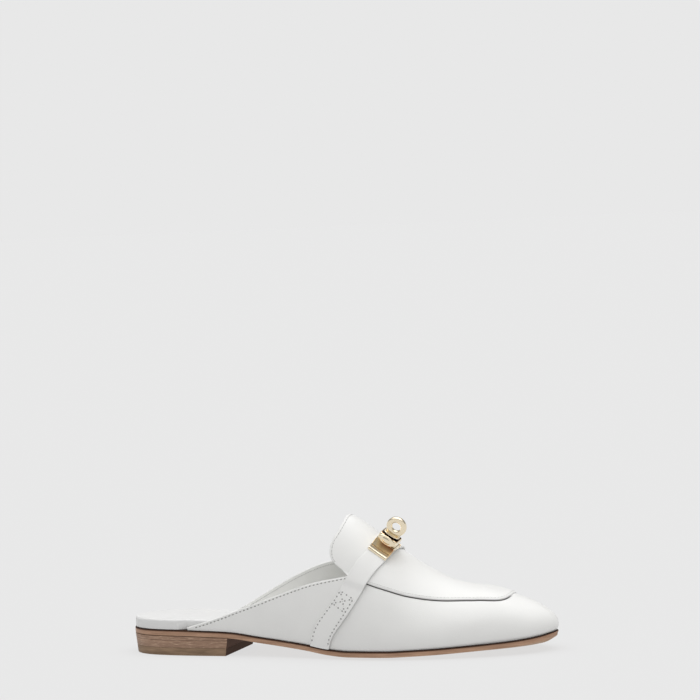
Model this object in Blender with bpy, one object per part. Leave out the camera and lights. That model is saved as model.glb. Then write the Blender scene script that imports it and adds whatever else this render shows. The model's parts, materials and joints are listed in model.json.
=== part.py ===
"""Loafer mule for the right foot: leather sole, stacked heel, hollow upper, saddle strap and turn-lock clasp.

Metres, +Z up. The toe points along +X and the outer (lateral) side of the foot faces -Y. Shapes are worked out
in the shoe's own frame, with X = 0 half way along the sole and Y = 0 on the heel's middle line. The empty
named shoe moves that frame, so that the origin ends up under the middle of the whole shoe, on the floor.
"""

import math

import bmesh
import bpy
import numpy as np
from mathutils import Matrix, Vector

# Sole and heel
SOLE_LENGTH = 0.2613
SOLE_WIDTH = 0.0762
SOLE_THICKNESS = 0.0033
HEEL_SEAT_HEIGHT = 0.0119
TOE_SPRING = 0.0065
TOE_BEVEL = 0.0024
TOE_BEVEL_LENGTH = 0.0073
EDGE_RISE = 0.0015
HEEL_LENGTH = 0.0678
HEEL_BREAST_SLANT = 0.0022
HEEL_TAPER = 0.0012
TOP_PIECE_THICKNESS = 0.0046
HEEL_LIFT_THICKNESS = 0.0043

# Insole
INSOLE_THICKNESS = 0.0062
INSOLE_FOREFOOT_THICKNESS = 0.0036
INSOLE_EDGE_RADIUS = 0.0014
INSOLE_EDGE_INSET = 0.0005
INSOLE_STEP_START = 0.0080
INSOLE_STEP_END = 0.0010
INSOLE_FALL_START = 0.30
INSOLE_FALL_END = 0.62

# Upper
UPPER_WALL = 0.0017
APRON_STEP = 0.0009
FEATHER_INSET = 0.0010
SIDE_BULGE = 0.0010
TOE_BULGE = 0.0018
TOE_BULGE_STATION = 0.90
BULGE_HEIGHT_SHARE = 0.25
TONGUE_HEIGHT = 0.0815
NOTCH_HEIGHT = 0.0432
MEDIAL_NOTCH_RISE = 0.0050
TONGUE_REACH = 0.0123
QUARTER_LENGTH = 0.1044
MEDIAL_QUARTER_LENGTH = 0.0989
QUARTER_TIP_HEIGHT = 0.0012
INSTEP_CREST_SHIFT = -0.0020
TOE_CREST_SHIFT = 0.0015
CREST_SHIFT_START = 0.62
CREST_SHIFT_END = 0.80
NOTCH_STATION = 0.5595
NOTCH_BLEND = 0.12
SPINE_FRONT_STATION = 0.830

# Strap
STRAP_WIDTH = 0.0125
STRAP_THICKNESS = 0.0013
STRAP_SQUARING = 0.12
SEAM_RAMP_START = 0.070
SEAM_RAMP_END = 0.015

# Clasp
CLASP_WIDTH = 0.0128
CLASP_SPAN = 0.0190
PLATE_THICKNESS = 0.0016
PEDESTAL_HEIGHT = 0.0036
PEDESTAL_LENGTH = 0.0086
PEDESTAL_FLARE = 0.0045
BLOCK_LENGTH = 0.0092
BLOCK_HEIGHT = 0.0044
BLOCK_BEVEL = 0.0012
BOSS_WIDTH = 0.0064
BOSS_FLATNESS = 0.45
BOSS_RISE = 0.0009
TOGGLE_FOOT_RADIUS = 0.0050
TOGGLE_FOOT_THICKNESS = 0.0011
POST_RADIUS = 0.0020
POST_DEPTH = 0.0030
RING_RADIUS = 0.0060
RING_HOLE_RADIUS = 0.0027
RING_THICKNESS = 0.0030
RING_BEVEL = 0.0010
RING_SINK = 0.0009
TOGGLE_TURN = 6
CLASP_ARC = 0.82
CLASP_LEAN = 0.6

GAP = 0.0003
RUNNING_CLEARANCE = 0.0003
# How far inside a rounded corner the middle of its arc lies, as a share of its radius.
CORNER_CUT = 0.3


def columns(names, *rows):
    """A short table: one array for each named column."""
    return dict(zip(names.split(), np.array(rows, float).T))


# Edge of the sole seen from above: station as a share of the length from the heel, sides as shares of the width.
PLAN = columns(
    "station lateral medial",
    (0.000, 0.000, 0.000),
    (0.012, 0.140, 0.140),
    (0.050, 0.254, 0.254),
    (0.110, 0.313, 0.311),
    (0.190, 0.340, 0.323),
    (0.290, 0.356, 0.305),
    (0.390, 0.395, 0.301),
    (0.490, 0.459, 0.343),
    (0.595, 0.510, 0.427),
    (0.690, 0.498, 0.483),
    (0.780, 0.437, 0.472),
    (0.870, 0.325, 0.410),
    (0.935, 0.208, 0.332),
    (0.980, 0.070, 0.232),
    (1.000, -0.078, 0.078),
)

# Underside of the sole's edge: shares of the heel seat height, of the toe spring and of the edge rise.
UNDERSIDE = columns(
    "station heel toe edge",
    (0.000, 1.00, 0.00, 0.0),
    (0.122, 1.00, 0.00, 0.0),
    (0.202, 0.96, 0.00, 0.0),
    (0.266, 0.90, 0.00, 0.0),
    (0.331, 0.70, 0.00, 0.1),
    (0.400, 0.50, 0.00, 0.3),
    (0.456, 0.31, 0.00, 0.6),
    (0.514, 0.08, 0.00, 0.9),
    (0.560, 0.00, 0.00, 1.0),
    (0.649, 0.00, 0.00, 1.0),
    (0.699, 0.00, 0.07, 1.0),
    (0.759, 0.00, 0.17, 1.0),
    (0.818, 0.00, 0.30, 1.0),
    (0.878, 0.00, 0.43, 1.0),
    (0.934, 0.00, 0.58, 1.0),
    (0.971, 0.00, 0.76, 1.0),
    (1.000, 0.00, 1.00, 1.0),
)

# Crest of the last from the leg to the toe box, as shares of the tongue's height.
CREST = columns(
    "station height",
    (0.000, 1.015),
    (0.440, 1.015),
    (0.515, 1.006),
    (0.551, 0.974),
    (0.588, 0.887),
    (0.617, 0.812),
    (0.654, 0.722),
    (0.681, 0.654),
    (0.715, 0.582),
    (0.752, 0.516),
    (0.787, 0.479),
    (0.830, 0.459),
    (0.868, 0.445),
)

# Roundness of the sections: exponents of the superellipse over the crown and down the side.
ROUNDNESS = columns(
    "station crown side",
    (0.000, 2.00, 1.80),
    (0.556, 2.00, 1.80),
    (0.609, 2.00, 1.85),
    (0.679, 2.00, 1.95),
    (0.749, 2.05, 2.10),
    (0.808, 2.10, 2.30),
    (0.868, 2.05, 2.60),
    (0.913, 1.70, 2.80),
    (0.968, 1.30, 2.50),
    (1.000, 1.05, 2.60),
)

# Topline of a quarter, from its tip on the sole to the notch beside the tongue, as shares of the notch's height.
TOPLINE = columns(
    "way lateral medial",
    (0.000, 0.000, 0.000),
    (0.100, 0.078, 0.100),
    (0.250, 0.216, 0.292),
    (0.400, 0.394, 0.510),
    (0.550, 0.574, 0.706),
    (0.700, 0.746, 0.864),
    (0.850, 0.900, 0.955),
    (1.000, 1.000, 1.000),
)

# Apron seam: its height over the sole, as a share of the crest's height over the sole.
SEAM = columns(
    "station height",
    (0.5595, 0.594),
    (0.607, 0.606),
    (0.640, 0.623),
    (0.678, 0.651),
    (0.714, 0.690),
    (0.751, 0.743),
    (0.808, 0.806),
    (0.868, 0.806),
    (0.913, 0.784),
    (0.958, 0.803),
    (1.000, 0.822),
)

# Rear edge of the tongue: how far it stands behind the notch, from the notch (0) to the crest (1).
TONGUE_EDGE = columns(
    "rise reach",
    (0.000, 0.00),
    (0.030, 0.17),
    (0.055, 0.47),
    (0.090, 0.71),
    (0.125, 0.88),
    (0.172, 0.97),
    (0.212, 1.00),
    (0.275, 0.99),
    (0.337, 0.935),
    (0.400, 0.833),
    (0.528, 0.667),
    (0.690, 0.565),
    (0.850, 0.528),
    (1.000, 0.528),
)

# Middle of the strap: station along the sole for each share of the way round the section, from sole to crest.
STRAP_PATH = columns(
    "rise station",
    (0.000, 0.490),
    (0.100, 0.503),
    (0.204, 0.533),
    (0.343, 0.567),
    (0.494, 0.591),
    (0.613, 0.608),
    (0.826, 0.625),
    (1.000, 0.629),
)


def spline(knots, values, closed_at=None):
    """The smooth cubic curve through the points: natural at its ends, or periodic where closed_at is its period."""
    knots = np.asarray(knots, float)
    values = np.asarray(values, float)
    if closed_at:
        knots = np.append(knots, knots[0] + closed_at)
        values = np.append(values, values[0])
    count = len(knots)
    steps = np.diff(knots)
    slopes = np.diff(values) / steps
    system = np.eye(count)
    bends = np.zeros(count)
    for i in range(1, count - 1):
        system[i, i - 1 : i + 2] = steps[i - 1], 2 * (steps[i - 1] + steps[i]), steps[i]
        bends[i] = 6 * (slopes[i] - slopes[i - 1])
    if closed_at:
        system[0, :2] = 2 * (steps[-1] + steps[0]), steps[0]
        system[0, -2] = steps[-1]
        bends[0] = 6 * (slopes[0] - slopes[-1])
        system[-1, 0] = -1
    second = np.linalg.solve(system, bends)

    def curve(at):
        at = np.asarray(at, float)
        if closed_at:
            at = (at - knots[0]) % closed_at + knots[0]
        at = np.clip(at, knots[0], knots[-1])
        i = np.clip(np.searchsorted(knots, at) - 1, 0, count - 2)
        after = (at - knots[i]) / steps[i]
        before = 1 - after
        bend = (before**3 - before) * second[i] + (after**3 - after) * second[i + 1]
        return before * values[i] + after * values[i + 1] + bend * steps[i] ** 2 / 6

    return curve


def steady(knots, values):
    """The curve through the points that never overshoots: level between two equal values."""
    steps = np.diff(knots)
    slopes = np.diff(values) / steps
    tangents = np.zeros(len(knots))
    tangents[0], tangents[-1] = slopes[0], slopes[-1]
    for i in range(1, len(knots) - 1):
        if slopes[i - 1] * slopes[i] > 0:
            tangents[i] = 2 / (1 / slopes[i - 1] + 1 / slopes[i])

    def curve(at):
        at = np.clip(np.asarray(at, float), knots[0], knots[-1])
        i = np.clip(np.searchsorted(knots, at) - 1, 0, len(knots) - 2)
        t = (at - knots[i]) / steps[i]
        ends = (1 + 2 * t) * (1 - t) ** 2 * values[i] + t * t * (3 - 2 * t) * values[i + 1]
        pulls = t * (1 - t) ** 2 * tangents[i] - t * t * (1 - t) * tangents[i + 1]
        return ends + pulls * steps[i]

    return curve


def ramp(value, start, end):
    """0 before start, 1 after end, smooth between them."""
    t = np.clip((value - start) / (end - start), 0, 1)
    return t * t * (3 - 2 * t)


# A place on the sole's edge is an angle round it: 0 at the heel, pi at the toe, the lateral side first.
_plan_angles = np.arccos(1 - 2 * PLAN["station"])
_edge_side = spline(
    np.concatenate([_plan_angles, 2 * np.pi - _plan_angles[-2:0:-1]]),
    np.concatenate([-PLAN["lateral"], PLAN["medial"][-2:0:-1]]),
    closed_at=2 * np.pi,
)
_heel_share = steady(UNDERSIDE["station"], UNDERSIDE["heel"])
_toe_share = steady(UNDERSIDE["station"], UNDERSIDE["toe"])
_edge_share = steady(UNDERSIDE["station"], UNDERSIDE["edge"])
_crest_share = spline(CREST["station"], CREST["height"])
_crown = steady(ROUNDNESS["station"], ROUNDNESS["crown"])
_side = steady(ROUNDNESS["station"], ROUNDNESS["side"])
_topline_lateral = spline(TOPLINE["way"], TOPLINE["lateral"])
_topline_medial = spline(TOPLINE["way"], TOPLINE["medial"])
_seam_share = spline(SEAM["station"], SEAM["height"])
_tongue_share = steady(TONGUE_EDGE["rise"], TONGUE_EDGE["reach"])
_strap_station = spline(
    np.concatenate([STRAP_PATH["rise"], 2 - STRAP_PATH["rise"][-2::-1]]),
    np.concatenate([STRAP_PATH["station"], STRAP_PATH["station"][-2::-1]]),
)


def station_of(x):
    return x / SOLE_LENGTH + 0.5


def x_of(station):
    return (station - 0.5) * SOLE_LENGTH


def angle_of(x, lateral=True):
    angle = np.arccos(np.clip(-2 * np.asarray(x, float) / SOLE_LENGTH, -1, 1))
    return angle if lateral else 2 * np.pi - angle


def edge(angle, inset=0.0):
    """Point of the sole's outline, moved inwards by inset."""
    angle = np.asarray(angle, float)
    small = 1e-4

    def on_edge(at):
        return np.stack([-SOLE_LENGTH / 2 * np.cos(at), SOLE_WIDTH * _edge_side(at)], -1)

    along = on_edge(angle + small) - on_edge(angle - small)
    along /= np.linalg.norm(along, axis=-1, keepdims=True)
    inwards = np.stack([-along[..., 1], along[..., 0]], -1)
    return on_edge(angle) + inwards * np.asarray(inset)[..., None]


def sole_underside(x):
    """Height of the sole's underside along its edge."""
    at = station_of(x)
    spring = TOE_SPRING * _toe_share(at)
    return HEEL_SEAT_HEIGHT * _heel_share(at) + spring + EDGE_RISE * _edge_share(at)


def sole_tread(x):
    """The underside with the bevel that rounds the toe's tip."""
    share = np.clip((x - SOLE_LENGTH / 2) / TOE_BEVEL_LENGTH + 1, 0, 1)
    return sole_underside(x) + TOE_BEVEL * share**2


def sole_top(x):
    return sole_underside(x) + SOLE_THICKNESS


def crest_height(x):
    return TONGUE_HEIGHT * _crest_share(station_of(x))


def spine_side(x):
    """Side position of the last's crest line."""
    lateral = edge(angle_of(x))[..., 1]
    medial = edge(angle_of(x, lateral=False))[..., 1]
    forward = ramp(station_of(x), CREST_SHIFT_START, CREST_SHIFT_END)
    shift = INSTEP_CREST_SHIFT + (TOE_CREST_SHIFT - INSTEP_CREST_SHIFT) * forward
    return (lateral + medial) / 2 + shift


def share_to_rise(share, side_exponent):
    """Turns a share of a section's height into a share of the way round it."""
    return np.arcsin(np.clip(share, 0, 1) ** (side_exponent / 2)) * 2 / np.pi


def last_point(angle, rise):
    """Point of the last's surface: rise goes from 0 at the sole to 1 on the crest."""
    foot = edge(angle, FEATHER_INSET)
    station = station_of(foot[..., 0])
    spine_x = np.minimum(foot[..., 0], x_of(SPINE_FRONT_STATION))
    spine = np.stack([spine_x, spine_side(spine_x)], -1)
    turn = np.clip(rise, 0, 1) * np.pi / 2
    width = np.cos(turn) ** (2 / _crown(station))
    height = np.sin(turn) ** (2 / _side(station))
    outwards = foot - spine
    reach = np.linalg.norm(outwards, axis=-1)
    size = SIDE_BULGE + (TOE_BULGE - SIDE_BULGE) * ramp(station, TOE_BULGE_STATION, 1)
    level = height / BULGE_HEIGHT_SHARE
    bulge = size * width * level * np.exp(1 - level)
    flat = spine + outwards * (width + bulge / reach)[..., None]
    base = sole_top(foot[..., 0]) + GAP
    z = base + (crest_height(spine_x) - base) * height
    return np.concatenate([flat, z[..., None]], -1)


def last_normal(angle, rise):
    """Outward normal of the last's surface."""
    small = 2e-3
    low = np.clip(rise - small, 0, 1 - 3 * small)
    high = low + 2 * small
    along = last_point(angle + small, (low + high) / 2) - last_point(angle - small, (low + high) / 2)
    up = last_point(angle, high) - last_point(angle, low)
    normal = np.cross(along, up)
    normal /= np.linalg.norm(normal, axis=-1, keepdims=True)
    on_crest = np.asarray(rise) > 1 - 1e-6
    spine_x = np.minimum(edge(angle, FEATHER_INSET)[..., 0], x_of(SPINE_FRONT_STATION))
    slope = (crest_height(spine_x + small) - crest_height(spine_x - small)) / (2 * small)
    crest = np.stack([-slope, np.zeros_like(slope), np.ones_like(slope)], -1)
    crest /= np.linalg.norm(crest, axis=-1, keepdims=True)
    return np.where(on_crest[..., None], crest, normal)


def upper_point(angle, rise, lift=0.0):
    """Point over the last's surface. At the sole it keeps its height, so the upper stands level on the sole."""
    angle, rise, lift = np.broadcast_arrays(*(np.asarray(v, float) for v in (angle, rise, lift)))
    point = last_point(angle, rise) + last_normal(angle, rise) * lift[..., None]
    at_sole = rise < 1e-9
    point[..., 2] = np.where(at_sole, sole_top(point[..., 0]) + GAP, point[..., 2])
    return point


def topline_rise(x, lateral):
    """Where the quarter's top edge lies round the section at x."""
    length = QUARTER_LENGTH if lateral else MEDIAL_QUARTER_LENGTH
    way = 1 - (x_of(NOTCH_STATION) - x) / length
    share = _topline_lateral(way) if lateral else _topline_medial(way)
    notch = NOTCH_HEIGHT if lateral else NOTCH_HEIGHT + MEDIAL_NOTCH_RISE
    height = QUARTER_TIP_HEIGHT + (notch - QUARTER_TIP_HEIGHT) * share
    whole = crest_height(x) - sole_top(x) - GAP
    return share_to_rise(height / whole, _side(station_of(x)))


def seam_rise(angle):
    """Where the apron's edge lies round the section that stands at this angle of the outline."""
    station = station_of(edge(angle, FEATHER_INSET)[..., 0])
    share = _seam_share(station)
    notch_x = x_of(NOTCH_STATION)
    whole = crest_height(notch_x) - sole_top(notch_x) - GAP
    extra = MEDIAL_NOTCH_RISE * (np.asarray(angle) > np.pi)
    notch_share = (NOTCH_HEIGHT + extra) / whole
    fade = 1 - ramp(station, NOTCH_STATION, NOTCH_STATION + NOTCH_BLEND)
    share = share + (notch_share - SEAM["height"][0]) * fade
    return share_to_rise(share, _side(station))


def material(name, color, roughness, metallic=0.0):
    made = bpy.data.materials.new(name)
    made.use_nodes = True
    shader = made.node_tree.nodes["Principled BSDF"]
    shader.inputs["Base Color"].default_value = (*color, 1)
    shader.inputs["Roughness"].default_value = roughness
    shader.inputs["Metallic"].default_value = metallic
    return made


def add_object(name, mesh, parent, surface, sharp_degrees=40):
    made = bpy.data.objects.new(name, mesh)
    bpy.context.scene.collection.objects.link(made)
    made.parent = parent
    mesh.materials.append(surface)
    mesh.shade_smooth()
    mesh.set_sharp_from_angle(angle=math.radians(sharp_degrees))
    return made


def mesh_from(name, points, faces):
    mesh = bpy.data.meshes.new(name)
    mesh.from_pydata([tuple(p) for p in points], [], faces)
    box = bmesh.new()
    box.from_mesh(mesh)
    bmesh.ops.recalc_face_normals(box, faces=box.faces)
    box.to_mesh(mesh)
    box.free()
    return mesh


def loft(name, rings):
    """Closed mesh through rings of equal length, capped at both ends."""
    count = len(rings[0])
    points = [p for ring in rings for p in ring]
    faces = [tuple(range(count))]
    for r in range(len(rings) - 1):
        for i in range(count):
            j = (i + 1) % count
            faces.append((r * count + i, r * count + j, (r + 1) * count + j, (r + 1) * count + i))
    faces.append(tuple(range(len(points) - count, len(points))))
    return mesh_from(name, points, faces)


def level_ring(angle, levels, shares):
    """Ring across the shoe between both sides of the outline: levels are (inset, height function, crown)."""
    ring = []
    for (inset, height, crown), backwards in zip(levels, (False, True)):
        left = edge(angle, inset)
        right = edge(2 * np.pi - angle, inset)
        row = []
        for share in shares:
            flat = left + (right - left) * share
            row.append((*flat, height(flat[0]) - crown(flat[0], share)))
        ring.extend(reversed(row) if backwards else row)
    return ring


SOLE_STATIONS = 34
BLUNT_END = 0.07
ACROSS = (0.0, 0.08, 0.22, 0.40, 0.60, 0.78, 0.92, 1.0)
FLAT_SHARE = 0.56


def make_outsole(shoe):
    """Sole with a level top and an underside that is lowest, and flat, along its middle."""

    def crown(x, share):
        outwards = abs(2 * share - 1)
        return EDGE_RISE * _edge_share(station_of(x)) * (1 - ramp(outwards, FLAT_SHARE, 1.0))

    def level(x, share):
        return 0.0

    angles = np.linspace(BLUNT_END, np.pi - BLUNT_END, SOLE_STATIONS)
    levels = ((0.0, sole_tread, crown), (0.0, sole_top, level))
    rings = [level_ring(a, levels, ACROSS) for a in angles]
    leather = material("sole_leather", (0.175, 0.094, 0.060), 0.55)
    return add_object("outsole", loft("outsole", rings), shoe, leather)


def make_heel_layer(shoe, name, low, high, surface):
    """One layer of the heel: low and high are functions of x. It narrows towards the floor."""

    def taper(z):
        return HEEL_TAPER * (1 - z / HEEL_SEAT_HEIGHT)

    rings = []
    for step in np.linspace(0, 1, 15):
        levels = []
        for height in (low, high):
            breast = -SOLE_LENGTH / 2 + HEEL_LENGTH
            z = float(height(breast))
            end = angle_of(breast - HEEL_BREAST_SLANT * (1 - z / HEEL_SEAT_HEIGHT))
            angle = BLUNT_END + (end - BLUNT_END) * step
            levels.append((angle, taper(z), height))
        ring = []
        for (angle, inset, height), backwards in zip(levels, (False, True)):
            left, right = edge(angle, inset), edge(2 * np.pi - angle, inset)
            row = [left + (right - left) * share for share in (0.0, 0.5, 1.0)]
            row = [(*flat, float(height(flat[0]))) for flat in row]
            ring.extend(reversed(row) if backwards else row)
        rings.append(ring)
    return add_object(name, loft(name, rings), shoe, surface)


def make_heel(shoe):
    stacked = material("stacked_leather", (0.235, 0.135, 0.085), 0.50)
    rubber = material("top_piece_rubber", (0.150, 0.105, 0.070), 0.65)
    lift_low = TOP_PIECE_THICKNESS + GAP
    lift_high = lift_low + HEEL_LIFT_THICKNESS
    seat_low = lift_high + GAP
    make_heel_layer(shoe, "heel_top_piece", lambda x: 0.0, lambda x: TOP_PIECE_THICKNESS, rubber)
    make_heel_layer(shoe, "heel_lift", lambda x: lift_low, lambda x: lift_high, stacked)
    make_heel_layer(
        shoe, "heel_seat_lift", lambda x: seat_low, lambda x: sole_underside(x) - GAP, stacked
    )


def insole_inset(x):
    """The insole reaches the sole's edge behind the quarters and lies inside the upper in front of them."""
    inside = FEATHER_INSET + UPPER_WALL + 2 * GAP
    tip = x_of(NOTCH_STATION) - QUARTER_LENGTH
    step = ramp(x, tip - INSOLE_STEP_START, tip - INSOLE_STEP_END)
    return INSOLE_EDGE_INSET + (inside - INSOLE_EDGE_INSET) * step


def insole_thickness(x):
    fall = ramp(station_of(x), INSOLE_FALL_START, INSOLE_FALL_END)
    return INSOLE_THICKNESS + (INSOLE_FOREFOOT_THICKNESS - INSOLE_THICKNESS) * fall


def make_insole(shoe):
    """Padded insole with a rounded upper edge."""
    angles = np.linspace(BLUNT_END, np.pi - BLUNT_END, 36)
    corner = INSOLE_EDGE_RADIUS
    cut = CORNER_CUT * corner
    rings = []
    for angle in angles:
        inset = float(insole_inset(edge(angle)[0]))
        rows = (
            (inset + cut, 0.0, (0.0, 0.5, 1.0)),
            (inset, cut, (1.0,)),
            (inset, -corner, (1.0,)),
            (inset + cut, -cut, (1.0,)),
            (inset + corner, 0.0, (1.0, 0.67, 0.33, 0.0)),
            (inset + cut, -cut, (0.0,)),
            (inset, -corner, (0.0,)),
            (inset, cut, (0.0,)),
        )
        ring = []
        for number, (side_inset, offset, shares) in enumerate(rows):
            left, right = edge(angle, side_inset), edge(2 * np.pi - angle, side_inset)
            for share in shares:
                flat = left + (right - left) * share
                base = float(sole_top(flat[0])) + GAP
                above = 0.0 if number in (0, 1, 7) else float(insole_thickness(flat[0]))
                ring.append((*flat, base + above + offset))
        rings.append(ring)
    leather = material("insole_leather", (0.80, 0.80, 0.78), 0.50)
    return add_object("insole", loft("insole", rings), shoe, leather)


class Shell:
    """Surface patches with a thickness: it keeps an outer and an inner point for each key."""

    def __init__(self, wall):
        self.wall = wall
        self.index = {}
        self.outer = []
        self.inner = []
        self.faces = []

    def point(self, key, angle, rise, lift=0.0):
        if key not in self.index:
            self.index[key] = len(self.outer)
            self.outer.append(upper_point(angle, rise, lift))
            self.inner.append(upper_point(angle, rise, -self.wall))
        return key

    def face(self, *keys):
        ring = [self.index[k] for k in keys]
        ring = [v for i, v in enumerate(ring) if v != ring[i - 1]]
        if len(ring) > 2:
            self.faces.append(tuple(ring))

    def solid(self, name):
        count = len(self.outer)
        faces = list(self.faces)
        faces += [tuple(count + v for v in reversed(f)) for f in self.faces]
        seen = {(f[i - 1], f[i]) for f in self.faces for i in range(len(f))}
        faces += [(b, a, count + a, count + b) for a, b in seen if (b, a) not in seen]
        return mesh_from(name, self.outer + self.inner, faces)


QUARTER_COLUMNS = 13
BODY_COLUMNS = 11
TOE_COLUMNS = 9
WALL_ROWS = 9
APRON_ROWS = 9
APRON_SPACING = 1.6
TONGUE_COLUMNS = 4
SEAM_RUN = 0.008


def upper_columns(lateral):
    """Angles of the outline at which the upper's sections stand, from a quarter's tip to the toe."""
    length = QUARTER_LENGTH if lateral else MEDIAL_QUARTER_LENGTH
    notch, front = x_of(NOTCH_STATION), x_of(SPINE_FRONT_STATION)
    quarter = angle_of(np.linspace(notch - length, notch, QUARTER_COLUMNS + 1)[:-1], lateral)
    body = angle_of(np.linspace(notch, front, BODY_COLUMNS + 1)[:-1], lateral)
    toe = np.linspace(angle_of(front, lateral), np.pi, TOE_COLUMNS + 1)
    return np.concatenate([quarter, body, toe])


def make_upper(shoe):
    """Vamp and quarters up to the topline and the apron's seam, then the raised apron and tongue."""
    shell = Shell(UPPER_WALL)
    notch_x = x_of(NOTCH_STATION)
    last = QUARTER_COLUMNS + BODY_COLUMNS + TOE_COLUMNS
    apron_shares = np.linspace(0, 1, APRON_ROWS + 1) ** APRON_SPACING

    def column(number, lateral):
        """Columns at the toe's middle belong to both sides."""
        return "toe" if number == last else (number, lateral)

    def crest_key(number):
        return ("crest", min(number, QUARTER_COLUMNS + BODY_COLUMNS))

    for lateral in (True, False):
        angles = upper_columns(lateral)
        rows = []
        apron = []
        for number, angle in enumerate(angles):
            behind_notch = number < QUARTER_COLUMNS
            x = float(edge(angle)[0])
            top = float(topline_rise(x, lateral) if behind_notch else seam_rise(angle))
            name = column(number, lateral)
            reach = top if behind_notch else top - SEAM_RUN
            shares = np.linspace(0, 1, WALL_ROWS + 1)
            rows.append([shell.point(("wall", name, i), angle, reach * s) for i, s in enumerate(shares)])
            if behind_notch:
                continue
            steps = top + (1 - top) * apron_shares
            keys = [shell.point(("apron", name, i), angle, s, APRON_STEP) for i, s in enumerate(steps[:-1])]
            crest_angle = angles[min(number, QUARTER_COLUMNS + BODY_COLUMNS)]
            keys.append(shell.point(crest_key(number), crest_angle, 1.0, APRON_STEP))
            apron.append(keys)

        def quad(a, b, c, d):
            if lateral:
                shell.face(a, b, c, d)
            else:
                shell.face(d, c, b, a)

        for left, right in zip(rows, rows[1:]):
            for i in range(WALL_ROWS):
                quad(left[i], right[i], right[i + 1], left[i + 1])
        for number, (left, right) in enumerate(zip(apron, apron[1:])):
            walls = rows[QUARTER_COLUMNS + number], rows[QUARTER_COLUMNS + number + 1]
            quad(walls[0][-1], walls[1][-1], right[0], left[0])
            for i in range(APRON_ROWS):
                quad(left[i], right[i], right[i + 1], left[i + 1])

        start = float(seam_rise(angle_of(notch_x, lateral)))
        previous = apron[0]
        for step in range(1, TONGUE_COLUMNS + 1):
            keys = [apron[0][0]]
            for i, share in enumerate(apron_shares[1:], 1):
                x = notch_x - TONGUE_REACH * float(_tongue_share(share)) * step / TONGUE_COLUMNS
                crest = i == APRON_ROWS
                key = ("tongue", step) if crest else ("tongue", step, i, lateral)
                rise = 1.0 if crest else start + (1 - start) * share
                keys.append(shell.point(key, angle_of(x, lateral or crest), rise, APRON_STEP))
            for i in range(APRON_ROWS):
                quad(keys[i], previous[i], previous[i + 1], keys[i + 1])
            previous = keys

    leather = material("upper_leather", (0.82, 0.82, 0.80), 0.38)
    return add_object("upper", shell.solid("upper"), shoe, leather)


def strap_lift(angle, rise):
    """The strap lies on the wall below the seam and on the raised apron above it."""
    seam = seam_rise(angle)
    return GAP + APRON_STEP * ramp(rise, seam - SEAM_RAMP_START, seam - SEAM_RAMP_END)


def strap_point(way, across, lift):
    """Point of the band over the instep. way: 0 on the sole, 1 on the crest, 2 on the sole on the other side."""
    way, across, lift = np.broadcast_arrays(*(np.asarray(v, float) for v in (way, across, lift)))

    def on_last(x_shift, way_shift):
        here = way + way_shift
        x = x_of(_strap_station(way)) + x_shift
        angle = np.where(here <= 1, angle_of(x), angle_of(x, lateral=False))
        return angle, np.where(here <= 1, here, 2 - here)

    def place(x_shift=0.0, way_shift=0.0):
        return upper_point(*on_last(x_shift, way_shift))

    small = 1e-3
    turned = np.where(way < 1, small, -small)
    here = place()
    by_x = (place(x_shift=small) - here) / small
    by_way = (place(way_shift=turned) - here) / turned[..., None]
    path_slope = SOLE_LENGTH * (_strap_station(way + turned) - _strap_station(way)) / turned
    ahead = by_way + by_x * path_slope[..., None]
    lean = -(by_x * ahead).sum(-1) / (by_way * ahead).sum(-1)
    lean = lean * ramp(np.minimum(way, 2 - way), 0.0, STRAP_SQUARING)
    scale = across / np.linalg.norm(by_x + lean[..., None] * by_way, axis=-1)
    angle, rise = on_last(scale, scale * lean)
    return upper_point(angle, rise, strap_lift(angle, rise) + lift)


def band_rings(ways, offsets, lower, upper):
    """Rings across a band on the instep: lower and upper give its faces over the strap's seat."""
    low = strap_point(ways[:, None], offsets, lower)
    high = strap_point(ways[:, None], offsets, upper)
    return [list(a) + list(b[::-1]) for a, b in zip(low, high)]


def make_strap(shoe):
    half = STRAP_WIDTH / 2
    ways = np.linspace(0, 2, 49)
    rings = band_rings(ways, np.linspace(-half, half, 5), 0.0, STRAP_THICKNESS)
    leather = material("strap_leather", (0.82, 0.82, 0.80), 0.40)
    return add_object("strap", loft("strap", rings), shoe, leather)


def clasp_frame():
    """Where the clasp stands: its seat on the strap, and its axes across, along and away from the strap."""
    seat = strap_point(CLASP_ARC, 0.0, STRAP_THICKNESS + GAP)
    small = 1e-3
    across = strap_point(CLASP_ARC, small, STRAP_THICKNESS) - strap_point(CLASP_ARC, -small, STRAP_THICKNESS)
    along = strap_point(CLASP_ARC + small, 0, STRAP_THICKNESS) - strap_point(CLASP_ARC - small, 0, STRAP_THICKNESS)
    across = Vector(across).normalized()
    away = across.cross(Vector(along)).normalized()
    away.y *= CLASP_LEAN
    away = (away - across * away.dot(across)).normalized()
    along = away.cross(across)
    frame = Matrix((across, along, away)).transposed().to_4x4()
    frame.translation = Vector(seat)
    return frame


def make_clasp_plate(shoe, frame, surface):
    """Saddle plate: its underside follows the strap, and its middle rises as a pedestal with hollow flanks."""
    half = CLASP_WIDTH / 2
    inverse = frame.inverted()
    rings = []
    reach = 0.5 * CLASP_SPAN / strap_speed()
    ways = np.linspace(CLASP_ARC - reach, CLASP_ARC + reach, 25)
    for row in strap_point(ways[:, None], np.linspace(-half, half, 7), STRAP_THICKNESS + GAP):
        low, high = [], []
        for point in row:
            seat = inverse @ Vector(point)
            out = abs(seat.y)
            flank = (PEDESTAL_LENGTH / 2 + PEDESTAL_FLARE - out) / PEDESTAL_FLARE
            flank = min(max(flank, 0.0), 1.0) ** 2
            top = seat.z + PLATE_THICKNESS
            top += (PEDESTAL_HEIGHT - top) * flank
            low.append(frame @ seat)
            high.append(frame @ Vector((seat.x, seat.y, top)))
        rings.append(low + high[::-1])
    return add_object("clasp_plate", loft("clasp_plate", rings), shoe, surface)


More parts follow.
